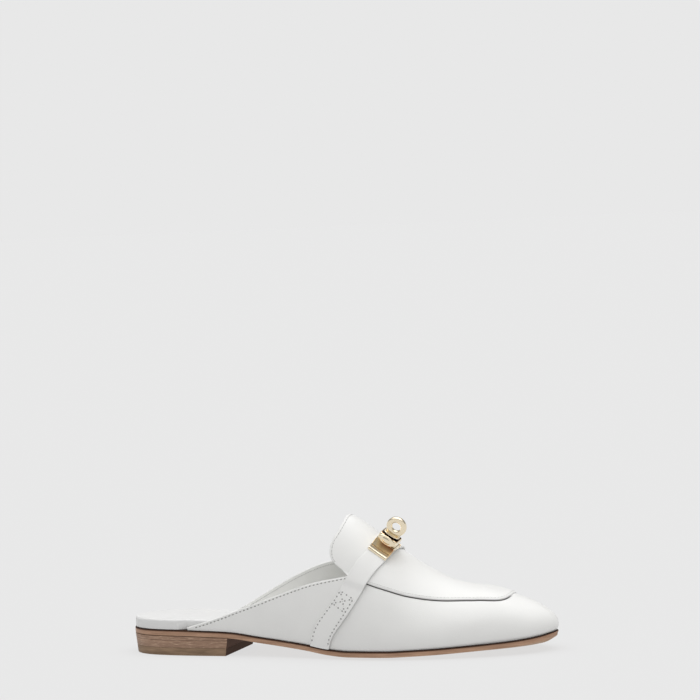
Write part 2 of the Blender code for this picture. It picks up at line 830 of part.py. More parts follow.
def strap_speed():
    """Length of strap for one unit of its way, at the clasp."""
    small = 1e-3
    ends = [strap_point(CLASP_ARC + s, 0.0, STRAP_THICKNESS) for s in (-small, small)]
    return float(np.linalg.norm(ends[1] - ends[0])) / (2 * small)


def rounded_box(name, size, bevel):
    box = bmesh.new()
    bmesh.ops.create_cube(box, size=1, matrix=Matrix.Diagonal((*size, 1)))
    bmesh.ops.bevel(
        box, geom=box.edges[:], offset=bevel, segments=3, profile=0.5, affect="EDGES", clamp_overlap=True
    )
    mesh = bpy.data.meshes.new(name)
    box.to_mesh(mesh)
    box.free()
    return mesh


def helper(made):
    made.hide_render = True
    made.display_type = "WIRE"
    return made


def cylinder_mesh(name, radius, depth, segments, matrix=None, squash=1.0):
    box = bmesh.new()
    bmesh.ops.create_cone(
        box,
        cap_ends=True,
        segments=segments,
        radius1=radius,
        radius2=radius,
        depth=depth,
        matrix=(matrix or Matrix()) @ Matrix.Diagonal((1, squash, 1, 1)),
    )
    mesh = bpy.data.meshes.new(name)
    box.to_mesh(mesh)
    box.free()
    return mesh


def boolean(target, other, operation):
    step = target.modifiers.new(f"{operation.lower()}_{other.name}", "BOOLEAN")
    step.operation = operation
    step.solver = "EXACT"
    step.object = other


def make_clasp_block(shoe, frame, surface):
    """Rounded block on the pedestal, with an oval boss at each end of its length and a bore for the post."""
    base = PEDESTAL_HEIGHT + GAP
    size = (CLASP_WIDTH - 2 * GAP, BLOCK_LENGTH, BLOCK_HEIGHT)
    block = add_object("clasp_block", rounded_box("clasp_block", size, BLOCK_BEVEL), shoe, surface)
    middle = frame @ Matrix.Translation((0, 0, base + BLOCK_HEIGHT / 2))
    block.matrix_local = middle
    lying = Matrix.Rotation(math.pi / 2, 4, "X")
    length = BLOCK_LENGTH + 2 * BOSS_RISE
    boss_mesh = cylinder_mesh("boss", BOSS_WIDTH / 2, length, 20, lying, squash=BOSS_FLATNESS)
    boss = helper(add_object("boss", boss_mesh, shoe, surface))
    boss.matrix_local = middle
    boolean(block, boss, "UNION")
    bore_mesh = cylinder_mesh("bore", POST_RADIUS + RUNNING_CLEARANCE, 2 * (POST_DEPTH + GAP), 24)
    bore = helper(add_object("bore", bore_mesh, shoe, surface))
    bore.matrix_local = frame @ Matrix.Translation((0, 0, base + BLOCK_HEIGHT))
    boolean(block, bore, "DIFFERENCE")
    return base + BLOCK_HEIGHT


def ring_mesh(name):
    """Ring turned about the local Y axis, with bevelled edges."""
    half, bevel, cut = RING_THICKNESS / 2, RING_BEVEL, CORNER_CUT * RING_BEVEL
    section = (
        (RING_HOLE_RADIUS + bevel, half),
        (RING_RADIUS - bevel, half),
        (RING_RADIUS - cut, half - cut),
        (RING_RADIUS, half - bevel),
        (RING_RADIUS, bevel - half),
        (RING_RADIUS - cut, cut - half),
        (RING_RADIUS - bevel, -half),
        (RING_HOLE_RADIUS + bevel, -half),
        (RING_HOLE_RADIUS + cut, cut - half),
        (RING_HOLE_RADIUS, bevel - half),
        (RING_HOLE_RADIUS, half - bevel),
        (RING_HOLE_RADIUS + cut, half - cut),
    )
    turns, count = 30, len(section)
    points, faces = [], []
    for turn in range(turns):
        a = 2 * math.pi * turn / turns
        points += [(r * math.cos(a), t, r * math.sin(a)) for r, t in section]
        for i in range(count):
            j, after = (i + 1) % count, (turn + 1) % turns
            faces.append((turn * count + i, turn * count + j, after * count + j, after * count + i))
    return mesh_from(name, points, faces)


def make_toggle(shoe, frame, block_top, surface):
    """Turn-lock toggle: post in the block's bore, round foot over the block and ring on top. It turns on its post."""
    foot_low = block_top + RUNNING_CLEARANCE
    axis = frame @ Matrix.Translation((0, 0, foot_low))
    lifted = Matrix.Translation((0, 0, TOGGLE_FOOT_THICKNESS / 2))
    foot = cylinder_mesh("turnlock_toggle", TOGGLE_FOOT_RADIUS, TOGGLE_FOOT_THICKNESS, 30, lifted)
    toggle = add_object("turnlock_toggle", foot, shoe, surface)
    toggle.matrix_local = axis
    post_length = POST_DEPTH + TOGGLE_FOOT_THICKNESS / 2
    post_mesh = cylinder_mesh("post", POST_RADIUS, post_length, 24)
    post = helper(add_object("post", post_mesh, shoe, surface))
    post.matrix_local = axis @ Matrix.Translation((0, 0, TOGGLE_FOOT_THICKNESS / 2 - post_length / 2))
    ring = helper(add_object("ring", ring_mesh("ring"), shoe, surface))
    ring_height = TOGGLE_FOOT_THICKNESS + RING_RADIUS - RING_SINK
    turn = Matrix.Rotation(math.radians(TOGGLE_TURN), 4, "Z")
    ring.matrix_local = axis @ turn @ Matrix.Translation((0, 0, ring_height))
    boolean(toggle, post, "UNION")
    boolean(toggle, ring, "UNION")
    return toggle


def stand_on_origin(shoe):
    """Moves the shoe's empty, so that the origin lies under the middle of the whole shoe."""
    bpy.context.view_layer.update()
    graph = bpy.context.evaluated_depsgraph_get()
    corners = []
    for made in bpy.context.scene.objects:
        if made.type != "MESH" or made.hide_render:
            continue
        solid = made.evaluated_get(graph)
        corners += [solid.matrix_world @ Vector(corner) for corner in solid.bound_box]
    low = [min(c[i] for c in corners) for i in range(2)]
    high = [max(c[i] for c in corners) for i in range(2)]
    shoe.location = (-(low[0] + high[0]) / 2, -(low[1] + high[1]) / 2, 0)


def main():
    for old in list(bpy.data.objects):
        bpy.data.objects.remove(old, do_unlink=True)
    shoe = bpy.data.objects.new("shoe", None)
    bpy.context.scene.collection.objects.link(shoe)
    make_outsole(shoe)
    make_heel(shoe)
    make_insole(shoe)
    make_upper(shoe)
    make_strap(shoe)
    gold = material("pale_gold", (0.78, 0.58, 0.34), 0.18, metallic=1.0)
    frame = clasp_frame()
    make_clasp_plate(shoe, frame, gold)
    block_top = make_clasp_block(shoe, frame, gold)
    make_toggle(shoe, frame, block_top, gold)
    stand_on_origin(shoe)


main()
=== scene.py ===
"""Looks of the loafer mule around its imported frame: leather, stitches, stacked heel, clasp, camera and light.

Metres, +Z up, toe along +X. The shape functions are those of the part's source, so the fine surfaces here lie
where the solids lie. SHIFT moves the shoe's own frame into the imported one.
"""

import json
import math

import bmesh
import bpy
import numpy as np
from mathutils import Matrix, Vector

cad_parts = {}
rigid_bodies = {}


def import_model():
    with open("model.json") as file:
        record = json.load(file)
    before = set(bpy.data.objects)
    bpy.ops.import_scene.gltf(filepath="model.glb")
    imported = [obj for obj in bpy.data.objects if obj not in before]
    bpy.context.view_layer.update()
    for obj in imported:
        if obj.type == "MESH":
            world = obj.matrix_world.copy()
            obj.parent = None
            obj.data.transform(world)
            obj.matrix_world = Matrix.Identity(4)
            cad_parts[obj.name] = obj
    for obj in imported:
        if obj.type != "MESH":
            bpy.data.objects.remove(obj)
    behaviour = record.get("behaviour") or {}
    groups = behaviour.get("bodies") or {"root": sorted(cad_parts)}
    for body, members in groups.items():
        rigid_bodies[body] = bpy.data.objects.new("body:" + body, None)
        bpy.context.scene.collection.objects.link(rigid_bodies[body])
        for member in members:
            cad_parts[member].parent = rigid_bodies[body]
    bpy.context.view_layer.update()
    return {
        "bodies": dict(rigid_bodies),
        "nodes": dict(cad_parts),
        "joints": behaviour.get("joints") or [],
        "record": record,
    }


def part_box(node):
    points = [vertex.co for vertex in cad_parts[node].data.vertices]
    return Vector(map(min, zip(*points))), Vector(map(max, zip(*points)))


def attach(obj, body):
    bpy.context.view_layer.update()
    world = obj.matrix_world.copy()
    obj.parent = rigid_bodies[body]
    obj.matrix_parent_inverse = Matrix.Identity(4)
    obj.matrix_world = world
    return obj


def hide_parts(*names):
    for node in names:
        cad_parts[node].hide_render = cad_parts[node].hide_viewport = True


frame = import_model()

# Sole and heel
SOLE_LENGTH = 0.2613
SOLE_WIDTH = 0.0762
SOLE_THICKNESS = 0.0033
HEEL_SEAT_HEIGHT = 0.0119
TOE_SPRING = 0.0065
TOE_BEVEL = 0.0024
TOE_BEVEL_LENGTH = 0.0073
EDGE_RISE = 0.0015
HEEL_LENGTH = 0.0678
HEEL_BREAST_SLANT = 0.0022
HEEL_TAPER = 0.0012
TOP_PIECE_THICKNESS = 0.0046
HEEL_LIFT_THICKNESS = 0.0043

# Insole
INSOLE_THICKNESS = 0.0062
INSOLE_FOREFOOT_THICKNESS = 0.0036
INSOLE_EDGE_RADIUS = 0.0014
INSOLE_EDGE_INSET = 0.0005
INSOLE_STEP_START = 0.0080
INSOLE_STEP_END = 0.0010
INSOLE_FALL_START = 0.30
INSOLE_FALL_END = 0.62

# Upper
UPPER_WALL = 0.0017
APRON_STEP = 0.0009
FEATHER_INSET = 0.0010
SIDE_BULGE = 0.0010
TOE_BULGE = 0.0018
TOE_BULGE_STATION = 0.90
BULGE_HEIGHT_SHARE = 0.25
TONGUE_HEIGHT = 0.0815
NOTCH_HEIGHT = 0.0432
MEDIAL_NOTCH_RISE = 0.0050
TONGUE_REACH = 0.0123
QUARTER_LENGTH = 0.1044
MEDIAL_QUARTER_LENGTH = 0.0989
QUARTER_TIP_HEIGHT = 0.0012
INSTEP_CREST_SHIFT = -0.0020
TOE_CREST_SHIFT = 0.0015
CREST_SHIFT_START = 0.62
CREST_SHIFT_END = 0.80
NOTCH_STATION = 0.5595
NOTCH_BLEND = 0.12
SPINE_FRONT_STATION = 0.830

# Strap
STRAP_WIDTH = 0.0125
STRAP_THICKNESS = 0.0013
STRAP_SQUARING = 0.12
SEAM_RAMP_START = 0.070
SEAM_RAMP_END = 0.015

# Clasp
CLASP_WIDTH = 0.0128
CLASP_SPAN = 0.0190
PLATE_THICKNESS = 0.0016
PEDESTAL_HEIGHT = 0.0036
PEDESTAL_LENGTH = 0.0086
PEDESTAL_FLARE = 0.0045
BLOCK_LENGTH = 0.0092
BLOCK_HEIGHT = 0.0044
BLOCK_BEVEL = 0.0012
TOGGLE_FOOT_RADIUS = 0.0050
TOGGLE_FOOT_THICKNESS = 0.0011
POST_RADIUS = 0.0020
POST_DEPTH = 0.0030
RING_RADIUS = 0.0060
RING_HOLE_RADIUS = 0.0027
RING_THICKNESS = 0.0030
RING_BEVEL = 0.0010
RING_SINK = 0.0009
TOGGLE_TURN = 6
CLASP_ARC = 0.82
CLASP_LEAN = 0.6

GAP = 0.0003
RUNNING_CLEARANCE = 0.0003

BLUNT_END = 0.07
FLAT_SHARE = 0.56

# From here on: details that only the looks need

# Upper: rim, columns and rows of its surface, and stations between which its seam turns into a soft swell
RIM_BULGE = 0.0004
RIM_STEPS = 6
FINE_QUARTER = 64
FINE_BODY = 64
FINE_TOE = 44
FINE_WALL = 30
FINE_APRON = 24
FINE_TONGUE = 14
SEAM_FADE_COLUMNS = 3
SEAM_FRONT_START = 0.960
SEAM_FRONT_END = 0.994
# Profile of the apron's edge: metres along the surface from the seam, the lift there and how dark the painted shade in
# its groove is.
SEAM_PROFILE = (
    (-0.00110, 0.0, 0.0), (-0.00060, -0.00010, 0.0), (-0.00036, -0.00030, 0.6), (-0.00010, -0.00042, 1.0),
    (0.00004, -0.00010, 1.0), (0.00012, 0.00040, 0.25), (0.00030, 0.00074, 0.0), (0.00065, 0.00090, 0.0),
    (0.00130, 0.00095, 0.0), (0.00200, 0.00090, 0.0),
)
# Soft dents of the worn-in wall: station and spread along the shoe, rise and spread round it, and depth.
DENTS = (
    (0.46, 0.035, 0.16, 0.08, -0.00030), (0.66, 0.030, 0.25, 0.10, -0.00022), (0.735, 0.016, 0.30, 0.16, -0.00022),
    (0.775, 0.014, 0.27, 0.14, -0.00016), (0.84, 0.05, 0.22, 0.10, 0.00018),
)
MEDIAL_RELIEF = 0.8
# Colour of the painted shade in the seam's groove.
CREASE_SHADE_COLOR = (0.040, 0.038, 0.034)

# Stitches
TOPLINE_STITCH_INSET = 0.0011
TONGUE_STITCH_INSET = 0.0013
APRON_STITCH_INSET = 0.0016
LINING_STITCH_INSET = 0.0016
STRAP_STITCH_INSET = 0.0009
STRAP_STITCH_START = 0.030
STRAP_BOX_TOP = 0.318
STRAP_BOX_BOTTOM = 0.238
STRAP_BOX_INSET = 0.0022
THREAD_LIFT = 0.00004
HOLE_DEPTH = 0.00006

# Edges of sole, heel, insole and strap
ROUND_END_ANGLES = BLUNT_END * np.array([0.03, 0.15, 0.35, 0.60, 0.80])
SOLE_CORNER_RADIUS = 0.00045
TOP_PIECE_RADIUS = 0.00022
LIFT_RADIUS = 0.00015
SEAT_RADIUS = 0.00012
LAYER_OVERLAP = 0.0002
INSOLE_FOOT_RADIUS = 0.0004
STRAP_EDGE_RADIUS = 0.00045
STRAP_CROWN = 0.0001
# Where up the sole's wall the painted shadow line starts, and how thick one layer of the stacked heel is.
SHADOW_LINE_START = 0.535
LEATHER_LAYER = 0.0019

# Clasp: bar and groove at each end of the plate, caps at the block's ends, and the toggle's foot
PLATE_EDGE_RADIUS = 0.00045
BAR_PLACE = 0.00165
BAR_WIDTH = 0.00042
BAR_HEIGHT = 0.00036
END_SLOPE = 0.30
GROOVE_PLACE = 0.0021
GROOVE_WIDTH = 0.00022
GROOVE_DEPTH = 0.00040
CAP_WIDTH = 0.0106
CAP_HEIGHT = 0.0054
CAP_OFFSET = -0.0002
# Oval cap: share of its half width, and distance from the block's end.
CAP_PROFILE = (
    (0.97, -0.0006), (1.00, 0.0000), (1.00, 0.0003), (0.96, 0.0006), (0.88, 0.00075), (0.74, 0.00080), (0.69, 0.00070),
    (0.64, 0.00072), (0.56, 0.00090), (0.40, 0.00115), (0.20, 0.00128), (0.02, 0.00130),
)
FOOT_UNDERCUT = 0.00045
FOOT_SQUASH = 0.74


def ramp(value, start, end):
    """0 before start, 1 after end, smooth between them."""
    t = np.clip((value - start) / (end - start), 0, 1)
    return t * t * (3 - 2 * t)


def cubic(knots, values, slopes):
    """The curve of cubic arcs through the points, with these slopes at them."""

    def curve(at):
        at = np.clip(np.asarray(at, float), knots[0], knots[-1])
        i = np.clip(np.searchsorted(knots, at) - 1, 0, len(knots) - 2)
        step = knots[i + 1] - knots[i]
        t = (at - knots[i]) / step
        ends = (1 + 2 * t) * (1 - t) ** 2 * values[i] + t * t * (3 - 2 * t) * values[i + 1]
        return ends + step * (t * (1 - t) ** 2 * slopes[i] - t * t * (1 - t) * slopes[i + 1])

    return curve


def spline(knots, values):
    """The smoothest cubic curve through the points, straight at its ends."""
    steps = np.diff(knots)
    rates = np.diff(values) / steps
    system, sums = np.zeros((len(knots),) * 2), np.zeros(len(knots))
    system[0, :2], system[-1, -2:] = (2, 1), (1, 2)
    sums[0], sums[-1] = 3 * rates[0], 3 * rates[-1]
    for i in range(1, len(knots) - 1):
        before, after = steps[i - 1], steps[i]
        system[i, i - 1 : i + 2] = after, 2 * (before + after), before
        sums[i] = 3 * (after * rates[i - 1] + before * rates[i])
    return cubic(knots, values, np.linalg.solve(system, sums))


def steady(knots, values):
    """The curve through the points that never overshoots: level between two equal values."""
    rates = np.diff(values) / np.diff(knots)
    before, after = rates[:-1], rates[1:]
    same_way = before * after > 0
    slopes = 2 * before * after * same_way / np.where(same_way, before + after, 1)
    return cubic(knots, values, np.concatenate([rates[:1], slopes, rates[-1:]]))


def curves(make, *rows):
    """A curve for each column of a table whose first column holds the knots."""
    knots, *columns = np.array(rows, float).T
    return [make(knots, column) for column in columns]


# Edge of the sole seen from above: station as a share of the length from the heel, lateral and medial side as shares
# of the width. A place on it is an angle round it: 0 at the heel, pi at the toe, the lateral side first.
PLAN = (
    (0, 0, 0), (0.012, 0.14, 0.14), (0.05, 0.254, 0.254), (0.11, 0.313, 0.311), (0.19, 0.34, 0.323),
    (0.29, 0.356, 0.305), (0.39, 0.395, 0.301), (0.49, 0.459, 0.343), (0.595, 0.51, 0.427), (0.69, 0.498, 0.483),
    (0.78, 0.437, 0.472), (0.87, 0.325, 0.41), (0.935, 0.208, 0.332), (0.98, 0.07, 0.232), (1, -0.078, 0.078),
)
_station, _lateral, _medial = np.array(PLAN, float).T
_angles = np.arccos(1 - 2 * _station)
_angles = np.concatenate([_angles, 2 * np.pi - _angles[-2:0:-1]])
_edge_side = spline(
    np.concatenate([_angles - 2 * np.pi, _angles, _angles + 2 * np.pi]),
    np.tile(np.concatenate([-_lateral, _medial[-2:0:-1]]), 3),
)

# Underside of the sole's edge, by station: shares of the heel seat height, of the toe spring and of the edge rise.
_heel_share, _toe_share, _edge_share = curves(
    steady, (0, 1, 0, 0), (0.122, 1, 0, 0), (0.202, 0.96, 0, 0), (0.266, 0.9, 0, 0), (0.331, 0.7, 0, 0.1),
    (0.4, 0.5, 0, 0.3), (0.456, 0.31, 0, 0.6), (0.514, 0.08, 0, 0.9), (0.56, 0, 0, 1), (0.649, 0, 0, 1),
    (0.699, 0, 0.07, 1), (0.759, 0, 0.17, 1), (0.818, 0, 0.3, 1), (0.878, 0, 0.43, 1), (0.934, 0, 0.58, 1),
    (0.971, 0, 0.76, 1), (1, 0, 1, 1),
)

# Crest of the last from the leg to the toe box, by station, as shares of the tongue's height.
[_crest_share] = curves(
    spline, (0, 1.015), (0.44, 1.015), (0.515, 1.006), (0.551, 0.974), (0.588, 0.887), (0.617, 0.812), (0.654, 0.722),
    (0.681, 0.654), (0.715, 0.582), (0.752, 0.516), (0.787, 0.479), (0.83, 0.459), (0.868, 0.445),
)

# Roundness of the sections, by station: exponents of the superellipse over the crown and down the side.
_crown, _side = curves(
    steady, (0, 2, 1.8), (0.556, 2, 1.8), (0.609, 2, 1.85), (0.679, 2, 1.95), (0.749, 2.05, 2.1), (0.808, 2.1, 2.3),
    (0.868, 2.05, 2.6), (0.913, 1.7, 2.8), (0.968, 1.3, 2.5), (1, 1.05, 2.6),
)

# Topline of both quarters, from the tip on the sole to the notch beside the tongue, as shares of the notch's height.
_topline_lateral, _topline_medial = curves(
    spline, (0, 0, 0), (0.1, 0.078, 0.1), (0.25, 0.216, 0.292), (0.4, 0.394, 0.51), (0.55, 0.574, 0.706),
    (0.7, 0.746, 0.864), (0.85, 0.9, 0.955), (1, 1, 1),
)

# Apron seam, by station: its height over the sole, as a share of the crest's height over the sole.
[_seam_share] = curves(
    spline, (0.5595, 0.594), (0.607, 0.606), (0.64, 0.623), (0.678, 0.651), (0.714, 0.69), (0.751, 0.743),
    (0.808, 0.806), (0.868, 0.806), (0.913, 0.784), (0.958, 0.803), (1, 0.822),
)

# Rear edge of the tongue: how far it stands behind the notch, from the notch (0) to the crest (1).
[_tongue_share] = curves(
    steady, (0, 0), (0.03, 0.17), (0.055, 0.47), (0.09, 0.71), (0.125, 0.88), (0.172, 0.97), (0.212, 1),
    (0.275, 0.99), (0.337, 0.935), (0.4, 0.833), (0.528, 0.667), (0.69, 0.565), (0.85, 0.528), (1, 0.528),
)

# Middle of the strap: station along the sole for each share of the way round the section, from sole to crest.
STRAP_PATH = (
    (0, 0.49), (0.1, 0.503), (0.204, 0.533), (0.343, 0.567), (0.494, 0.591), (0.613, 0.608), (0.826, 0.625), (1, 0.629),
)
[_strap_station] = curves(spline, *STRAP_PATH, *[(2 - way, station) for way, station in STRAP_PATH[-2::-1]])


def station_of(x):
    return x / SOLE_LENGTH + 0.5


def x_of(station):
    return (station - 0.5) * SOLE_LENGTH


def angle_of(x, lateral=True):
    angle = np.arccos(np.clip(-2 * np.asarray(x, float) / SOLE_LENGTH, -1, 1))
    return angle if lateral else 2 * np.pi - angle


def unit(vector):
    return vector / np.linalg.norm(vector, axis=-1, keepdims=True)


def edge(angle, inset=0.0):
    """Point of the sole's outline, moved inwards by inset."""
    angle = np.asarray(angle, float)

    def on_edge(at):
        return np.stack([-SOLE_LENGTH / 2 * np.cos(at), SOLE_WIDTH * _edge_side(at)], -1)

    along = unit(on_edge(angle + 1e-4) - on_edge(angle - 1e-4))
    return on_edge(angle) + np.stack([-along[..., 1], along[..., 0]], -1) * np.asarray(inset)[..., None]


def sole_underside(x):
    """Height of the sole's underside along its edge."""
    at = station_of(x)
    return HEEL_SEAT_HEIGHT * _heel_share(at) + TOE_SPRING * _toe_share(at) + EDGE_RISE * _edge_share(at)


def sole_tread(x):
    """The underside with the bevel that rounds the toe's tip."""
    return sole_underside(x) + TOE_BEVEL * np.clip((x - SOLE_LENGTH / 2) / TOE_BEVEL_LENGTH + 1, 0, 1) ** 2


def seat_height(x):
    """Where insole and upper stand on the sole."""
    return sole_underside(x) + SOLE_THICKNESS + GAP


def crest_height(x):
    return TONGUE_HEIGHT * _crest_share(station_of(x))


def spine_side(x):
    """Side position of the last's crest line."""
    middle = (edge(angle_of(x))[..., 1] + edge(angle_of(x, lateral=False))[..., 1]) / 2
    forward = ramp(station_of(x), CREST_SHIFT_START, CREST_SHIFT_END)
    return middle + INSTEP_CREST_SHIFT + (TOE_CREST_SHIFT - INSTEP_CREST_SHIFT) * forward


def share_to_rise(share, side_exponent):
    """Turns a share of a section's height into a share of the way round it."""
    return np.arcsin(np.clip(share, 0, 1) ** (side_exponent / 2)) * 2 / np.pi


def last_point(angle, rise):
    """Point of the last's surface: rise goes from 0 at the sole to 1 on the crest."""
    foot = edge(angle, FEATHER_INSET)
    station = station_of(foot[..., 0])
    spine_x = np.minimum(foot[..., 0], x_of(SPINE_FRONT_STATION))
    spine = np.stack([spine_x, spine_side(spine_x)], -1)
    turn = np.clip(rise, 0, 1) * np.pi / 2
    width = np.cos(turn) ** (2 / _crown(station))
    height = np.sin(turn) ** (2 / _side(station))
    outwards = foot - spine
    size = SIDE_BULGE + (TOE_BULGE - SIDE_BULGE) * ramp(station, TOE_BULGE_STATION, 1)
    level = height / BULGE_HEIGHT_SHARE
    bulge = size * width * level * np.exp(1 - level)
    flat = spine + outwards * (width + bulge / np.linalg.norm(outwards, axis=-1))[..., None]
    base = seat_height(foot[..., 0])
    return np.concatenate([flat, (base + (crest_height(spine_x) - base) * height)[..., None]], -1)


def last_normal(angle, rise):
    """Outward normal of the last's surface."""
    small = 2e-3
    low = np.clip(rise - small, 0, 1 - 3 * small)
    middle, high = low + small, low + 2 * small
    along = last_point(angle + small, middle) - last_point(angle - small, middle)
    normal = unit(np.cross(along, last_point(angle, high) - last_point(angle, low)))
    spine_x = np.minimum(edge(angle, FEATHER_INSET)[..., 0], x_of(SPINE_FRONT_STATION))
    slope = (crest_height(spine_x + small) - crest_height(spine_x - small)) / (2 * small)
    crest = unit(np.stack([-slope, np.zeros_like(slope), np.ones_like(slope)], -1))
    return np.where((np.asarray(rise) > 1 - 1e-6)[..., None], crest, normal)


def upper_point(angle, rise, lift=0.0):
    """Point over the last's surface. At the sole it keeps its height, so the upper stands level on the sole."""
    angle, rise, lift = np.broadcast_arrays(*(np.asarray(v, float) for v in (angle, rise, lift)))
    point = last_point(angle, rise) + last_normal(angle, rise) * lift[..., None]
    point[..., 2] = np.where(rise < 1e-9, seat_height(point[..., 0]), point[..., 2])
    return point


def rise_per_metre(angle, rise):
    """How much the rise grows along a metre of the section."""
    small = 1e-3
    return 2 * small / np.linalg.norm(last_point(angle, rise + small) - last_point(angle, rise - small), axis=-1)


def topline_rise(x, lateral):
    """Where the quarter's top edge lies round the section at x."""
    way = 1 - (x_of(NOTCH_STATION) - x) / (QUARTER_LENGTH if lateral else MEDIAL_QUARTER_LENGTH)
    share = _topline_lateral(way) if lateral else _topline_medial(way)
    notch = NOTCH_HEIGHT if lateral else NOTCH_HEIGHT + MEDIAL_NOTCH_RISE
    height = QUARTER_TIP_HEIGHT + (notch - QUARTER_TIP_HEIGHT) * share
    return share_to_rise(height / (crest_height(x) - seat_height(x)), _side(station_of(x)))


def seam_rise(angle):
    """Where the apron's edge lies round the section that stands at this angle of the outline."""
    station = station_of(edge(angle, FEATHER_INSET)[..., 0])
    notch_x = x_of(NOTCH_STATION)
    notch = NOTCH_HEIGHT + MEDIAL_NOTCH_RISE * (np.asarray(angle) > np.pi)
    lift = notch / (crest_height(notch_x) - seat_height(notch_x)) - _seam_share(NOTCH_STATION)
    fade = 1 - ramp(station, NOTCH_STATION, NOTCH_STATION + NOTCH_BLEND)
    return share_to_rise(_seam_share(station) + lift * fade, _side(station))


def strap_point(way, across, lift):
    """Point of the band over the instep. way: 0 on the sole, 1 on the crest, 2 on the sole on the other side.

    The strap lies on the wall below the seam and on the raised apron above it.
    """
    way, across, lift = np.broadcast_arrays(*(np.asarray(v, float) for v in (way, across, lift)))

    def on_last(x_shift=0.0, way_shift=0.0):
        here = way + way_shift
        x = x_of(_strap_station(way)) + x_shift
        return np.where(here <= 1, angle_of(x), angle_of(x, lateral=False)), np.where(here <= 1, here, 2 - here)

    small = 1e-3
    turned = np.where(way < 1, small, -small)
    here = upper_point(*on_last())
    by_x = (upper_point(*on_last(x_shift=small)) - here) / small
    by_way = (upper_point(*on_last(way_shift=turned)) - here) / turned[..., None]
    path_slope = SOLE_LENGTH * (_strap_station(way + turned) - _strap_station(way)) / turned
    ahead = by_way + by_x * path_slope[..., None]
    lean = -(by_x * ahead).sum(-1) / (by_way * ahead).sum(-1)
    lean = lean * ramp(np.minimum(way, 2 - way), 0.0, STRAP_SQUARING)
    scale = across / np.linalg.norm(by_x + lean[..., None] * by_way, axis=-1)
    angle, rise = on_last(scale, scale * lean)
    seam = seam_rise(angle)
    raised = GAP + APRON_STEP * ramp(rise, seam - SEAM_RAMP_START, seam - SEAM_RAMP_END)
    return upper_point(angle, rise, raised + lift)


def clasp_seat():
    """Place of the clasp, with axes across, along and away from the strap, and the strap's length per unit of way."""
    small = 1e-3
    shifts = ((0, small), (0, -small), (small, 0), (-small, 0))
    ends = [strap_point(CLASP_ARC + way, across, STRAP_THICKNESS) for way, across in shifts]
    across, along = Vector(ends[0] - ends[1]).normalized(), ends[2] - ends[3]
    away = across.cross(Vector(along)).normalized()
    away.y *= CLASP_LEAN
    away = (away - across * away.dot(across)).normalized()
    place = Matrix((across, away.cross(across), away)).transposed().to_4x4()
    place.translation = Vector(strap_point(CLASP_ARC, 0.0, STRAP_THICKNESS + GAP))
    return place, float(np.linalg.norm(along)) / (2 * small)


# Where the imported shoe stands: its own frame is moved so that the box's bottom centre is the origin.
_sole_low, _sole_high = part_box("outsole")
_outline = edge(np.linspace(BLUNT_END, np.pi - BLUNT_END, 34))
SHIFT = Vector(((_sole_low.x + _sole_high.x) / 2, _sole_low.y - _outline[:, 1].min(), 0.0))
SHOE_PLACE = Matrix.Translation(SHIFT)
CLASP_SEAT, STRAP_SPEED = clasp_seat()
CLASP_PLACE = SHOE_PLACE @ CLASP_SEAT


def linked(name, data):
    made = bpy.data.objects.new(name, data)
    bpy.context.scene.collection.objects.link(made)
    return made


def mesh_of(name, points, faces, place=SHOE_PLACE):
    """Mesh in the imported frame, with its faces turned outwards."""
    mesh = bpy.data.meshes.new(name)
    mesh.from_pydata([place @ Vector(point) for point in points], [], faces)
    work = bmesh.new()
    work.from_mesh(mesh)
    bmesh.ops.recalc_face_normals(work, faces=work.faces)
    work.to_mesh(mesh)
    work.free()
    return mesh


def add_piece(mesh, surfaces, node=None, slot=None, body="shoe", sharp=50, kinds=None, **marks):
    """Visible piece that rides on a body. kinds: each face's material. marks: numbers per point for the material."""
    mesh.materials.clear()
    for surface in surfaces:
        mesh.materials.append(surface)
    if kinds is not None:
        mesh.polygons.foreach_set("material_index", kinds)
    for mark, values in marks.items():
        mesh.attributes.new(mark, "FLOAT", "POINT").data.foreach_set("value", [float(v) for v in values])
    mesh.shade_smooth()
    if sharp:
        mesh.set_sharp_from_angle(angle=math.radians(sharp))
    made = linked(mesh.name, mesh)
    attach(made, body)
    if node:
        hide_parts(node)


def loft_faces(rings, count, closed=False):
    """Faces between rings of count points, capped at both ends unless the rings join up."""
    faces = []
    for r in range(rings if closed else rings - 1):
        here, after = r * count, (r + 1) % rings * count
        for i in range(count):
            j = (i + 1) % count
            faces.append((here + i, here + j, after + j, after + i))
    if not closed:
        faces += [tuple(range(count))[::-1], tuple(range((rings - 1) * count, rings * count))]
    return faces


# Materials


